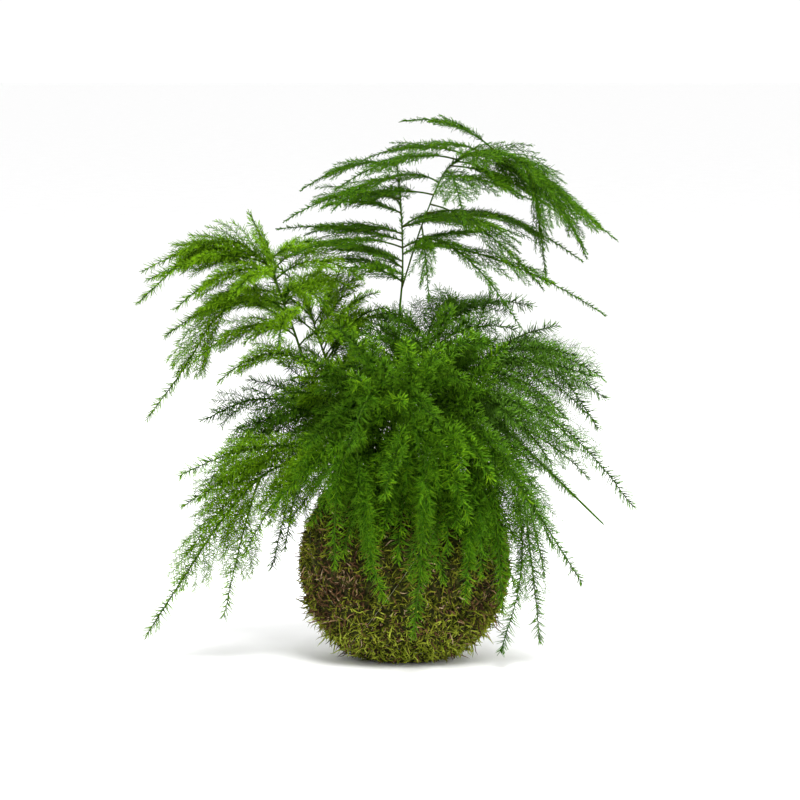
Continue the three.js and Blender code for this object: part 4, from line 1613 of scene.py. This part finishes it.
            Shoot(0.28, (-88, -30, 114), arch=16, tilt=60, spread=24),
            Shoot(0.22, (-66, -44, 104), arch=16, tilt=50, spread=24),
            Shoot(0.5, (-104, 4, 112), arch=16, tilt=50, spread=28),
            Shoot(0.4, (-74, -20, 142), tilt=40),
            Shoot(0.36, (-90, 8, 162), arch=8, tilt=70),
            Shoot(0.28, (-74, 12, 174), arch=4, tilt=70),
            Shoot(0.34, (-72, -8, 126), tilt=50),
            Shoot(0.3, (-84, 14, 124), arch=12, tilt=80),
        ),
    ),
    # The three front fronds: their stems and shoots get lighter towards the tips, partly as young growth and
    # partly as painted shade on their inner parts.
    Frond(
        "frond_front_left", foot=(-6, -13), bare=0.35, tilt=80, spread=24, tail_fresh_and_depth_shade=0.4, young=4,
        scatter=28,
        stem=((-16, -30, 134), (-28, -54, 134), (-38, -68, 110), (-40, -72, 62)),
        shoots=(
            Shoot(0.42, (-74, -64, 96), tilt=60, spread=24),
            Shoot(0.5, (-12, -78, 44), tilt=85, spread=20, through=((-23, -78, 92), (-18, -80, 66))),
            Shoot(0.34, (-35, -64, 68), arch=8, tilt=10, spread=24),
            Shoot(0.3, (-54, -52, 84), arch=10, tilt=-10, spread=24),
            Shoot(0.3, (-20, -72, 56), arch=10, tilt=-5, spread=24),
            Shoot(0.18, (-42, -46, 112), arch=12, tilt=20),
            Shoot(0.14, (-16, -56, 114), tilt=10),
            Shoot(0.22, (-30, -60, 100), arch=12, tilt=-20, spread=24),
        ),
    ),
    Frond(
        "frond_front_mid", foot=(0, -17), bare=0.3, tilt=85, spread=22, tail_fresh_and_depth_shade=0.4, young=4, scatter=28,
        stem=((4, -34, 142), (8, -60, 142), (12, -80, 112), (9, -84, 66), (5, -84, 24)),
        shoots=(
            Shoot(0.32, (-12, -104, 104), arch=16, tilt=60, spread=24),
            Shoot(0.34, (36, -94, 92), arch=16, tilt=80, spread=24),
            Shoot(0.28, (-4, -78, 66), arch=8, tilt=5),
            Shoot(0.24, (12, -86, 84), arch=10, tilt=-10),
            Shoot(0.3, (22, -74, 54), arch=8, tilt=10),
            Shoot(0.26, (-12, -80, 82), arch=12, tilt=50),
        ),
    ),
    Frond(
        "frond_front_right", foot=(7, -16), bare=0.3, tilt=80, spread=22, tail_fresh_and_depth_shade=0.4, young=4,
        scatter=28,
        stem=((22, -32, 139), (38, -48, 136), (50, -58, 104), (56, -58, 34)),
        shoots=(
            Shoot(0.4, (70, -84, 100), tilt=60, spread=24),
            Shoot(0.5, (34, -78, 44), arch=12, tilt=80, spread=20),
            Shoot(0.32, (38, -70, 62), arch=8),
            Shoot(0.26, (30, -80, 84), arch=12, tilt=10),
            Shoot(0.36, (58, -54, 52), arch=8, tilt=-10, spread=24),
            Shoot(0.3, (64, -44, 74), arch=10, tilt=-20, spread=24),
            Shoot(0.44, (44, -66, 56), arch=10, tilt=60),
            Shoot(0.42, (62, -50, 50), arch=10, tilt=70),
            Shoot(0.34, (24, -78, 72), arch=12, tilt=50),
        ),
    ),
    Frond(
        # tone=0.62 is painted shade: it darkens this frond, which fills the upper heart.
        "frond_middle", foot=(4, -6), bare=0.55, tilt=60, spread=24, tone=0.62, young=5, scatter=28,
        stem=((8, -10, 150), (15, -13, 178), (38, -18, 199)),
        shoots=(
            Shoot(0.7, (-22, -28, 194), arch=10, tilt=60, spread=24),
            Shoot(0.5, (6, -66, 172), arch=16, tilt=50),
            Shoot(0.6, (66, -42, 164), arch=16, tilt=60),
            Shoot(0.42, (-50, -46, 160), arch=16, tilt=50),
            Shoot(0.78, (26, -44, 206), arch=10, tilt=60, spread=22),
            Shoot(0.34, (30, -72, 126), arch=20, tilt=60, spread=22),
            Shoot(0.46, (-18, -58, 150), arch=16, tilt=50),
            Shoot(0.4, (44, -58, 146), arch=18, tilt=50),
            Shoot(0.6, (-36, -42, 172), tilt=40),
            Shoot(0.66, (4, -52, 188), tilt=30),
            Shoot(0.74, (54, -34, 182), tilt=30),
            Shoot(0.54, (34, -64, 166), arch=16, tilt=-30),
            Shoot(0.64, (-34, 0, 192), arch=12, tilt=-40, spread=24),
            Shoot(0.36, (-40, -14, 132), arch=18, tilt=80),
            Shoot(0.44, (-52, -10, 164), arch=12, tilt=80),
            Shoot(0.38, (56, -18, 136), arch=18, tilt=80),
            Shoot(0.76, (-12, -14, 204), arch=10, tilt=70, spread=24),
            Shoot(0.84, (64, -4, 192), arch=10, tilt=70, spread=24),
            Shoot(0.56, (-14, 12, 200), arch=8, tilt=80, spread=24),
            Shoot(0.5, (-32, 6, 182), arch=8, tilt=85),
            Shoot(0.56, (54, 8, 186), arch=6, tilt=85),
            Shoot(0.6, (-20, -24, 184), arch=6, tilt=85),
            Shoot(0.6, (42, -30, 182), arch=8, tilt=85),
        ),
    ),
    Frond(
        # tone=0.62 is painted shade: it darkens this frond, which fills the upper heart.
        "frond_front_high", foot=(-3, -8), bare=0.4, tilt=40, spread=24, tone=0.62, young=4, scatter=28,
        stem=((-8, -22, 146), (-14, -44, 162), (-22, -70, 156), (-32, -92, 132)),
        shoots=(
            Shoot(0.46, (-56, -66, 130), arch=16, tilt=60, spread=24),
            Shoot(0.36, (-60, -36, 180), arch=6, tilt=60, spread=22),
            Shoot(0.6, (20, -90, 144), tilt=50, spread=24),
            Shoot(0.3, (-36, -58, 138), arch=18, tilt=50),
            Shoot(0.26, (-8, -66, 130), arch=16, tilt=40),
            Shoot(0.34, (-14, -62, 166), arch=12, tilt=-50),
            Shoot(0.3, (-48, -24, 166), arch=12, tilt=-40),
            Shoot(0.42, (12, -74, 132), arch=16, tilt=-30),
            Shoot(0.18, (-38, -26, 122), arch=8, tilt=85, spread=22),
        ),
    ),
    Frond(
        "frond_right_front", foot=(16, 3), bare=0.4, tilt=50, spread=24, needles=1.6, age=Age.OLD,
        needle_radius=0.15, young=3, scatter=28,
        stem=((26, 2, 134), (44, -2, 158), (66, -14, 164), (92, -28, 144)),
        shoots=(
            Shoot(0.45, (64, -52, 142), tilt=60, spread=24),
            Shoot(0.6, (92, 24, 138), tilt=40, spread=24),
            Shoot(0.5, (84, -44, 118), arch=18, tilt=50),
            Shoot(0.4, (56, -62, 118), arch=16, tilt=-30),
            Shoot(0.56, (66, -8, 176), arch=10, tilt=40, spread=24),
            Shoot(0.36, (48, -44, 110), arch=16, tilt=40),
            Shoot(0.44, (72, -34, 106), arch=18, tilt=50),
            Shoot(0.3, (64, 8, 152), arch=8, tilt=80, spread=24),
            Shoot(0.22, (56, -12, 114), arch=12, tilt=85, spread=22),
        ),
    ),
    Frond(
        "frond_back_left", foot=(-10, 15), bare=0.35, tilt=-70, spread=26, young=2, scatter=24,
        stem=((-22, 34, 138), (-42, 58, 138), (-60, 74, 110), (-72, 82, 54)),
        shoots=(
            Shoot(0.4, (-88, 70, 138), tilt=-40),
            Shoot(0.5, (-32, 92, 58), tilt=-80, spread=24),
        ),
    ),
    Frond(
        "frond_back_mid", foot=(0, 19), bare=0.3, tilt=-80, spread=28, young=2, scatter=24,
        stem=((2, 38, 148), (0, 66, 148), (2, 90, 118), (6, 96, 46)),
        shoots=(
            Shoot(0.4, (-38, 92, 146), tilt=-40),
            Shoot(0.5, (36, 106, 88), tilt=-60),
            Shoot(0.26, (-36, 30, 170), arch=12, tilt=50),
            Shoot(0.3, (30, 44, 168), arch=12, tilt=50),
            Shoot(0.28, (-42, 44, 124), tilt=85, spread=28),
            Shoot(0.28, (46, 46, 120), tilt=85, spread=28),
            Shoot(0.22, (-40, 36, 148), arch=10, tilt=85, spread=28),
            Shoot(0.22, (50, 34, 148), arch=10, tilt=85, spread=28),
            Shoot(0.17, (-34, 30, 124), arch=8, tilt=85),
            Shoot(0.15, (-38, 36, 112), tilt=60),
        ),
    ),
    Frond(
        "frond_back_right", foot=(10, 14), bare=0.35, tilt=-70, spread=26, young=2, scatter=24,
        stem=((26, 34, 140), (50, 54, 138), (68, 66, 106), (84, 72, 40)),
        shoots=(
            Shoot(0.4, (100, 50, 116), tilt=-40, spread=24),
            Shoot(0.5, (50, 86, 34), tilt=-80, spread=24),
        ),
    ),
    Frond(
        # tone=0.62 is painted shade: it darkens this frond, which fills the upper heart.
        "frond_back_high", foot=(4, 10), bare=0.45, spread=28, tone=0.62, young=3, scatter=28,
        stem=((10, 24, 162), (16, 40, 192), (28, 70, 204), (42, 106, 178)),
        shoots=(
            Shoot(0.5, (-26, 88, 190), arch=16),
            Shoot(0.55, (76, 84, 200), arch=16, spread=24),
            Shoot(0.4, (-24, 26, 196), arch=12, tilt=40),
            Shoot(0.46, (44, 30, 204), arch=12, tilt=40),
            Shoot(0.3, (-34, 26, 178), arch=4, tilt=85, spread=28),
            Shoot(0.34, (50, 36, 182), arch=4, tilt=85, spread=28),
            Shoot(0.3, (46, 30, 146), arch=6, tilt=85),
            Shoot(0.28, (36, 44, 142), arch=10, tilt=60),
            Shoot(0.32, (-26, 28, 148), arch=6, tilt=85),
        ),
    ),
)

# The ball

# How fine a ball is, how ragged its lumps are, and how far directions stray from even ones.
BALL_SUBDIVISIONS = 5
LUMP_DETAIL = 2
DIRECTION_STRAY = 1.2


def rough_ball(name: str, radius: float, relief: float, lump_size: float) -> bpy.types.Object:
    """Models a ball about the ball's centre with an uneven surface.

    Args:
        name: The object's name.
        radius: Its radius.
        relief: How far its surface rises and falls.
        lump_size: The size of its lumps.

    Returns:
        The ball.
    """
    bpy.ops.object.select_all(action="DESELECT")
    bpy.ops.mesh.primitive_ico_sphere_add(
        subdivisions=BALL_SUBDIVISIONS, radius=radius * MM, location=tuple(BALL_CENTRE * MM)
    )
    ball = bpy.context.active_object
    ball.name = name
    ball.data.name = name
    bpy.ops.object.transform_apply(location=True)
    lumps = bpy.data.textures.new(name, "CLOUDS")
    lumps.noise_scale = lump_size * MM
    lumps.noise_depth = LUMP_DETAIL
    displace = ball.modifiers.new("Lumps", "DISPLACE")
    displace.texture = lumps
    displace.texture_coords = "LOCAL"
    displace.strength = 2 * relief * MM
    bpy.ops.object.modifier_apply(modifier=displace.name)
    bpy.ops.object.shade_smooth()
    return ball


def cut_off(piece: bpy.types.Object, height: float, keep_above: bool, fill: bool) -> None:
    """Cuts a piece level at a height.

    Args:
        piece: The piece, alone in being selected.
        height: The height of the cut.
        keep_above: Whether what is above stays.
        fill: Whether the cut is closed.
    """
    bpy.context.view_layer.objects.active = piece
    bpy.ops.object.mode_set(mode="EDIT")
    bpy.ops.mesh.select_all(action="SELECT")
    bpy.ops.mesh.bisect(
        plane_co=(0, 0, height * MM),
        plane_no=(0, 0, 1),
        use_fill=fill,
        clear_inner=keep_above,
        clear_outer=not keep_above,
    )
    bpy.ops.object.mode_set(mode="OBJECT")


def even_directions(count: int, dice: np.random.Generator) -> np.ndarray:
    """Finds directions that are spread evenly but not regularly.

    Args:
        count: How many there are.
        dice: The chances.

    Returns:
        Unit vectors in rows.
    """
    number = np.arange(count) + 0.5
    height = 1 - 2 * number / count
    turn = number * math.pi * (3 - math.sqrt(5))
    width = np.sqrt(1 - height**2)
    even = np.stack((width * np.cos(turn), width * np.sin(turn), height), axis=1)
    return unit(even + dice.normal(0, DIRECTION_STRAY / math.sqrt(count), (count, 3)))


@dataclass(frozen=True)
class SoilBall:
    """The ball of soil, with crumbs where the fronds come up.

    Attributes:
        radius: Its radius.
        floor: The height of its flat underside.
        relief: How far its surface rises and falls.
        lump_size: The size of its lumps.
        crumbs: How many loose crumbs lie in the crown.
        crumb_size: The half size of the largest.
        crumb_sizes: The smallest and the largest, as shares of it.
        crumb_lift: How far the middle of a crumb is above the soil.
        crumb_rim: How far the crumbs stay from the moss.
        seed: What the crumbs' chances start from.
    """

    radius: float = SOIL_RADIUS
    floor: float = 7.0
    relief: float = 0.9
    lump_size: float = 7.0
    crumbs: int = 260
    crumb_size: float = 1.7
    crumb_sizes: Span = (0.35, 1.0)
    crumb_lift: float = 0.3
    crumb_rim: float = 1.5
    seed: int = 41

    finish = EarthFinish(
        "Soil",
        dark=(0.008, 0.005, 0.003),
        middle=(0.030, 0.019, 0.010),
        light=(0.085, 0.055, 0.030),
        scale=260.0,
    )

    def build(self) -> tuple[bpy.types.Object, bpy.types.Object]:
        """Builds and dresses the ball and its crumbs.

        Returns:
            The ball and the crumbs.
        """
        ball = rough_ball("soil_ball", self.radius, self.relief, self.lump_size)
        cut_off(ball, height=self.floor, keep_above=True, fill=True)
        pieces = (ball, self.loose_crumbs())
        for piece in pieces:
            self.dress(piece)
        return pieces

    def loose_crumbs(self) -> bpy.types.Object:
        """Spreads the crumbs over the crown.

        Returns:
            The piece.
        """
        dice = np.random.default_rng(self.seed)
        reach = (CROWN_RADIUS - self.crumb_rim) * np.sqrt(dice.random(self.crumbs))
        turn = 2 * math.pi * dice.random(self.crumbs)
        x, y = reach * np.cos(turn), reach * np.sin(turn)
        z = BALL_CENTRE[2] + np.sqrt(self.radius**2 - reach**2) + self.crumb_lift
        along = unit(dice.normal(size=(self.crumbs, 3)))
        sizes = self.crumb_size * dice.uniform(*self.crumb_sizes, self.crumbs)
        crumb = crumb_pattern()
        corners = crumb.copied(np.stack((x, y, z), axis=1), along, across_of(along), sizes, sizes)
        bunch = Bunch()
        bunch.add(crumb, corners, dice.random(self.crumbs), slot=0)
        return bunch.piece("soil_crumbs")

    def dress(self, piece: bpy.types.Object) -> None:
        """Gives a piece the colour of soil."""
        piece.data.materials.append(self.finish.material())


class Moss(Enum):
    """What a strand of moss is like, which sets its colours. One kind is painted light, for strands on the
    lower ball lit from below.
    """

    GREEN = StrandFinish(
        "Moss green", root=(0.005, 0.007, 0.001), dark=(0.018, 0.028, 0.001), light=(0.385, 0.410, 0.036)
    )
    DRY = StrandFinish(
        "Moss dry", root=(0.008, 0.005, 0.002), dark=(0.030, 0.015, 0.007), light=(0.270, 0.140, 0.066)
    )
    STRAW = StrandFinish(
        "Moss straw", root=(0.060, 0.030, 0.010), dark=(0.300, 0.150, 0.060), light=(0.700, 0.560, 0.360)
    )
    # Painted light: brighter yellow-green strands that stand in for light falling on the lower ball from
    # below.
    FRESH = StrandFinish(
        "Moss fresh", root=(0.026, 0.038, 0.001), dark=(0.160, 0.215, 0.007), light=(0.600, 0.680, 0.085)
    )

    @property
    def slot(self) -> int:
        """The number of its material."""
        return list(Moss).index(self)


@dataclass(frozen=True)
class Patch:
    """A patch of dry moss on the ball.

    Attributes:
        middle: The direction of its middle from the ball's centre.
        reach: Its half width.
        dryness: How much of the moss in it is dry.
    """

    middle: Point
    reach: float
    dryness: float

    def share(self, places: np.ndarray) -> np.ndarray:
        """The share of dry strands at some points on the ball, from 0 to 1."""
        middle = BALL_CENTRE + BALL_RADIUS * unit(np.array(self.middle))
        return self.dryness * np.exp(-((np.linalg.norm(places - middle, axis=1) / self.reach) ** 2))


@dataclass(frozen=True)
class StrandLayer:
    """One kind of growth on the moss, which makes one piece.

    Attributes:
        name: The name of the piece.
        count: How many strands there would be if they grew on all of the ball.
        length: The length of most.
        radius: The half width of most.
        rise: The least and the most that they rise from the felt, in degrees.
        seed: What the chances start from.
        below: The height that none grows above.
        is_leafy: Whether they are small leaves and don't curl.
    """

    name: str
    count: int
    length: float
    radius: float
    rise: Span
    seed: int
    below: float = math.inf
    is_leafy: bool = False


@dataclass(frozen=True)
class MossCover:
    """The moss round the soil: felt, and strands that lie and curl on it.

    Attributes:
        radius: The radius of the felt.
        thickness: Its thickness.
        relief: How far its surface rises and falls.
        lump_size: The size of its lumps.
        layers: What grows on it.
        lengths: The shortest and the longest strand, as shares of the usual length.
        widths: The narrowest and the widest, as shares of the usual width.
        foot_depth: How deep strands stand in the felt.
        clearance: How far strands stay from the ground.
        crown_height: The height above which strands stay out of the crown.
        crown_rim: How far strands reach into the crown.
        patches: Where it is dry.
        straw_patches: Where it is bleached.
        dryness: How much of it is dry elsewhere.
        bleaching: How much of it is bleached elsewhere.
        lit_height: The height up to which much of it is painted as lit from below.
        lightening: How quickly more of it is painted lit from below under that height.
        lit_shares: The least and the most of it that is painted lit from below.
    """

    radius: float = 59.4
    thickness: float = 5.0
    relief: float = 1.5
    lump_size: float = 9.0
    layers: tuple[StrandLayer, ...] = (
        StrandLayer("moss_strands", 9600, length=5.4, radius=0.28, rise=(2, 40), seed=7),
        StrandLayer("moss_stray_strands", 800, length=5.4, radius=0.28, rise=(32, 80), seed=8),
        StrandLayer("moss_fringe", 3000, length=8.64, radius=0.308, rise=(15, 70), seed=10, below=36),
        StrandLayer("moss_leaves", 9000, length=3.24, radius=0.35, rise=(5, 60), seed=9, is_leafy=True),
    )
    lengths: Span = (0.5, 1.5)
    widths: Span = (0.7, 1.3)
    foot_depth: float = 0.3
    clearance: float = 0.15
    crown_height: float = 60.0
    crown_rim: float = 2.0
    patches: tuple[Patch, ...] = (
        Patch((-0.62, -0.76, -0.1), reach=21, dryness=0.85),
        Patch((-0.78, -0.5, -0.42), reach=17, dryness=0.7),
        Patch((0.72, -0.62, -0.25), reach=16, dryness=0.7),
        Patch((0.1, -0.8, -0.55), reach=13, dryness=0.6),
        Patch((0.2, -0.95, 0.25), reach=15, dryness=0.6),
        Patch((0.85, 0.4, 0.1), reach=22, dryness=0.8),
        Patch((-0.3, 0.9, -0.2), reach=20, dryness=0.8),
        Patch((0.4, 0.8, 0.4), reach=15, dryness=0.6),
        Patch((-0.9, 0.25, 0.3), reach=16, dryness=0.6),
    )
    straw_patches: tuple[Patch, ...] = (
        Patch((-0.58, -0.8, -0.06), reach=6, dryness=0.7),
        Patch((0.78, -0.56, -0.22), reach=5, dryness=0.6),
        Patch((0.3, 0.9, 0.1), reach=7, dryness=0.6),
    )
    dryness: float = 0.14
    bleaching: float = 0.05
    # Painted light: lower down, more strands take the colours of moss lit from below.
    lit_height: float = 42.0
    lightening: float = 1.1
    lit_shares: Span = (0.06, 0.85)

    finish = EarthFinish(
        "Moss felt",
        dark=(0.006, 0.007, 0.002),
        middle=(0.022, 0.024, 0.006),
        light=(0.070, 0.075, 0.016),
        scale=300.0,
    )

    def build(self) -> list[bpy.types.Object]:
        """Builds and dresses the felt and what grows on it.

        Returns:
            The pieces, with the felt first.
        """
        curls = [curl.pattern() for curl in Curl]
        leaf = [needle_pattern()]
        felt = self.felt_shell()
        self.dress(felt, self.finish)
        pieces = [felt]
        for layer in self.layers:
            piece = self.grown(layer, leaf if layer.is_leafy else curls)
            self.dress(piece, *(moss.value for moss in Moss))
            pieces.append(piece)
        return pieces

    def felt_shell(self) -> bpy.types.Object:
        """Models the felt: a lumpy shell, flat below and open at the crown.

        Returns:
            The piece.
        """
        shell = rough_ball("moss_felt", self.radius, self.relief, self.lump_size)
        cut_off(shell, height=0.0, keep_above=True, fill=True)
        opening = BALL_CENTRE[2] + math.sqrt(self.radius**2 - CROWN_RADIUS**2)
        cut_off(shell, height=opening, keep_above=False, fill=False)
        solidify = shell.modifiers.new("Thickness", "SOLIDIFY")
        solidify.thickness = self.thickness * MM
        solidify.offset = -1.0
        bpy.ops.object.modifier_apply(modifier=solidify.name)
        return shell

    def grown(self, layer: StrandLayer, shapes: list[Pattern]) -> bpy.types.Object:
        """Spreads strands evenly over the ball, each with its own heading.

        Args:
            layer: What grows there.
            shapes: The shapes of the strands.

        Returns:
            The piece.
        """
        count = layer.count
        dice = np.random.default_rng(layer.seed)
        outwards = even_directions(count, dice)
        feet = BALL_CENTRE + (self.radius - self.foot_depth) * outwards
        headings = spun(across_of(outwards), outwards, 2 * math.pi * dice.random(count))
        rises = np.radians(dice.uniform(*layer.rise, count))[:, None]
        along = unit(np.cos(rises) * headings + np.sin(rises) * outwards)
        across = spun(across_of(along), along, 2 * math.pi * dice.random(count))
        lengths = layer.length * dice.uniform(*self.lengths, count)
        widths = layer.radius * dice.uniform(*self.widths, count)
        kinds = self.kinds(feet, dice)
        turns = np.arange(count) % len(shapes)
        crown_width = np.where(feet[:, 2] > self.crown_height, CROWN_RADIUS - self.crown_rim, 0)
        is_open = (feet[:, 2] < layer.below) & (np.hypot(feet[:, 0], feet[:, 1]) > crown_width)
        bunch = Bunch()
        for number, shape in enumerate(shapes):
            corners = shape.copied(feet, along, across, lengths, widths)
            is_clear = is_open & (corners[..., 2].min(axis=1) > self.clearance)
            for moss in Moss:
                chosen = is_clear & (turns == number) & (kinds == moss.slot)
                if chosen.any():
                    bunch.add(shape, corners[chosen], dice.random(int(chosen.sum())), moss.slot)
        return bunch.piece(layer.name)

    def kinds(self, feet: np.ndarray, dice: np.random.Generator) -> np.ndarray:
        """Chooses green, dry, bleached or lit moss for each strand. The lit kind is painted light from below,
        and it is likelier the lower a strand stands.

        Args:
            feet: Where the strands stand.
            dice: The chances.

        Returns:
            The slot of each strand.
        """
        count = len(feet)
        dryness = np.max([patch.share(feet) for patch in self.patches], axis=0)
        is_dry = dice.random(count) < np.maximum(dryness, self.dryness)
        # Painted light: the lower a strand stands, the likelier it takes the colours of moss lit from below.
        lightening = np.clip(self.lightening * (1 - feet[:, 2] / self.lit_height), *self.lit_shares)
        is_lit = dice.random(count) < lightening
        bleaching = np.max([patch.share(feet) for patch in self.straw_patches], axis=0)
        is_bleached = dice.random(count) < np.maximum(bleaching, self.bleaching)
        kinds = np.where(is_lit, Moss.FRESH.slot, Moss.GREEN.slot)
        kinds[is_dry] = Moss.DRY.slot
        kinds[is_bleached] = Moss.STRAW.slot
        return kinds

    def dress(self, piece: bpy.types.Object, *finishes: EarthFinish | StrandFinish) -> None:
        """Gives a piece its finishes, in the order of their slots."""
        for finish in finishes:
            piece.data.materials.append(finish.material())


@dataclass(frozen=True)
class BindingThread:
    """The clear thread that binds the moss: loops round the ball.

    Attributes:
        radius: The radius of a loop.
        thickness: The radius of the thread.
        loops: The number of loops.
        tilt: How far each loop leans from level, in degrees.
        start: How far the first loop is turned, as a share of the turn between two.
        segments: The number of parts along a loop.
        sides: The number of sides of the thread.
    """

    radius: float = 59.7
    thickness: float = 0.2
    loops: int = 3
    tilt: float = 55.0
    start: float = 0.25
    segments: int = 90
    sides: int = 6

    finish = ThreadFinish("Clear thread", clear=(0.50, 0.52, 0.30), stained=(0.16, 0.18, 0.05))

    def build(self) -> bpy.types.Object:
        """Builds and dresses the thread.

        Returns:
            The piece.
        """
        bpy.ops.object.select_all(action="DESELECT")
        loops = [self.loop(number) for number in range(self.loops)]
        for loop in loops:
            loop.select_set(True)
        thread = loops[0]
        bpy.context.view_layer.objects.active = thread
        bpy.ops.object.join()
        bpy.ops.object.shade_smooth()
        thread.name = "thread_loops"
        thread.data.name = "thread_loops"
        self.dress(thread)
        return thread

    def loop(self, number: int) -> bpy.types.Object:
        """Models one loop round the ball.

        Args:
            number: Its number.

        Returns:
            The loop.
        """
        bpy.ops.mesh.primitive_torus_add(
            major_radius=self.radius * MM,
            minor_radius=self.thickness * MM,
            major_segments=self.segments,
            minor_segments=self.sides,
            location=tuple(BALL_CENTRE * MM),
            rotation=(math.radians(self.tilt), 0, 2 * math.pi * (number + self.start) / self.loops),
        )
        bpy.ops.object.transform_apply(location=True, rotation=True)
        return bpy.context.active_object

    def dress(self, thread: bpy.types.Object) -> None:
        """Makes the thread clear, with stains."""
        thread.data.materials.append(self.finish.material())


# The studio

# The point that the lights look at, in metres.
LIT_POINT = np.array((0.0, 0.0, 0.15))


@dataclass(frozen=True)
class FloorFinish:
    """Pale matt paper with a faint grain.

    Attributes:
        name: The material's name.
        pale: The colour of most of it.
        shade: The colour of its grain.
        roughness: Its roughness.
    """

    name: str
    pale: Colour
    shade: Colour
    roughness: float = 0.9

    @cache
    def material(self) -> bpy.types.Material:
        """Makes the material at its first use.

        Returns:
            The material.
        """
        shader = Shader(self.name)
        colour = shader.ramp(shader.mottle(scale=25.0, detail=6.0), {0.0: self.shade, 1.0: self.pale})
        shader.join(colour, shader.principled.inputs["Base Color"])
        shader.principled.inputs["Roughness"].default_value = self.roughness
        return shader.material


@dataclass(frozen=True)
class Softbox:
    """A large square light that looks at the plant.

    Attributes:
        name: Its name.
        place: Where it is, in metres.
        size: The length of its side, in metres.
        power: Its power in watts.
    """

    name: str
    place: Point
    size: float
    power: float

    def build(self) -> None:
        """Adds the light."""
        light = bpy.data.lights.new(self.name, "AREA")
        light.size = self.size
        light.energy = self.power
        lamp = bpy.data.objects.new(self.name, light)
        bpy.context.scene.collection.objects.link(lamp)
        lamp.matrix_world = looking(np.array(self.place), LIT_POINT)


def looking(place: np.ndarray, target: np.ndarray) -> Matrix:
    """Finds the placing of a camera or light that looks at a target.

    Args:
        place: Where it is.
        target: What it looks at.

    Returns:
        The matrix.
    """
    back = unit(place - target)
    right = unit(np.cross(UP, back))
    top = np.cross(back, right)
    return Matrix([[right[i], top[i], back[i], place[i]] for i in range(3)] + [[0, 0, 0, 1]])


@dataclass(frozen=True)
class Studio:
    """The floor, the soft lights and the camera of the photograph.

    Attributes:
        picture: The width and height of the picture in pixels.
        pixel: The width of a pixel at the plant, in millimetres.
        origin: The pixel that shows the origin.
        elevation: How far the camera looks down, in degrees.
        distance: How far the camera is from the plant, in metres.
        sensor: The width of its sensor, in millimetres.
        sight: How far the camera sees, in metres.
        floor_size: The width of the floor, in metres.
        sky: The strength of the light from all round.
        exposure: How much brighter the picture is taken, in stops.
        softboxes: The lights.
    """

    picture: float = 800.0
    pixel: float = 0.58
    origin: tuple[float, float] = (404.5, 660.0)
    elevation: float = 5.0
    distance: float = 2.6
    sensor: float = 36.0
    sight: float = 200.0
    floor_size: float = 40.0
    sky: float = 0.85
    exposure: float = 0.27
    softboxes: tuple[Softbox, ...] = (
        Softbox("Key light", (0.2, -1.2, 1.95), size=0.7, power=46.5),
        Softbox("Fill light", (1.5, -1.1, 0.9), size=1.4, power=12.0),
        Softbox("Back light", (0.5, 1.6, 1.2), size=1.2, power=6.0),
    )

    finish = FloorFinish("Floor paper", pale=(0.97, 0.97, 0.97), shade=(0.94, 0.94, 0.94))

    def build(self) -> None:
        """Sets up the studio."""
        self.lay_floor()
        for softbox in self.softboxes:
            softbox.build()
        self.set_sky()
        self.set_camera()

    def lay_floor(self) -> None:
        """Adds the floor."""
        bpy.ops.object.select_all(action="DESELECT")
        bpy.ops.mesh.primitive_plane_add(size=self.floor_size, location=(0, 0, 0))
        floor = bpy.context.active_object
        floor.name = "studio_floor"
        floor.data.materials.append(self.finish.material())
        floor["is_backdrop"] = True

    def set_sky(self) -> None:
        """Lights the scene evenly from all round."""
        world = bpy.data.worlds.new("Studio sky")
        world.use_nodes = True
        background = world.node_tree.nodes["Background"]
        background.inputs["Color"].default_value = (*WHITE, 1.0)
        background.inputs["Strength"].default_value = self.sky
        bpy.context.scene.world = world
        bpy.context.scene.view_settings.view_transform = "Standard"
        bpy.context.scene.view_settings.exposure = self.exposure

    def set_camera(self) -> None:
        """Adds the camera, so that the origin is at its pixel."""
        pixel = self.pixel * MM
        middle = self.picture / 2
        target = np.array(((middle - self.origin[0]) * pixel, 0, (self.origin[1] - middle) * pixel))
        angle = math.radians(self.elevation)
        place = target + self.distance * np.array((0, -math.cos(angle), math.sin(angle)))
        lens = bpy.data.cameras.new("Camera")
        lens.sensor_width = self.sensor
        lens.lens = self.sensor * self.distance / (self.picture * pixel)
        lens.clip_end = self.sight
        camera = bpy.data.objects.new("Camera", lens)
        camera.matrix_world = looking(place, target)
        bpy.context.scene.collection.objects.link(camera)
        bpy.context.scene.camera = camera


def write_sizes(part_box: Sequence[Sequence[float]]) -> None:
    """Works out the box of the part and the box of what stands for it, as plain numbers.

    Args:
        part_box: The part's box.
    """
    boxes = {"part": part_box, "pieces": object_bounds()}
    plain = {name: [[float(value) for value in corner] for corner in box] for name, box in boxes.items()}


def main() -> None:
    """Builds every sub-assembly in order and reports each piece."""
    logging.basicConfig(level=logging.INFO, format="%(name)s: %(message)s")
    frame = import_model()
    part_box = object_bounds()
    body = next(iter(frame["bodies"]))
    Studio().build()
    ball, crumbs = SoilBall().build()
    report(ball, body, "soil", "soil_core")
    report(crumbs, body, "soil")
    felt, *strands = MossCover().build()
    report(felt, body, "moss", "moss_cover")
    for strand in strands:
        report(strand, body, "moss")
    report(BindingThread().build(), body, "thread", "binding_thread")
    patterns = FrondPatterns()
    for frond in FRONDS:
        report(frond.build(patterns), body, "fern", frond.node)
    write_sizes(part_box)


if __name__ == "__main__":
    main()
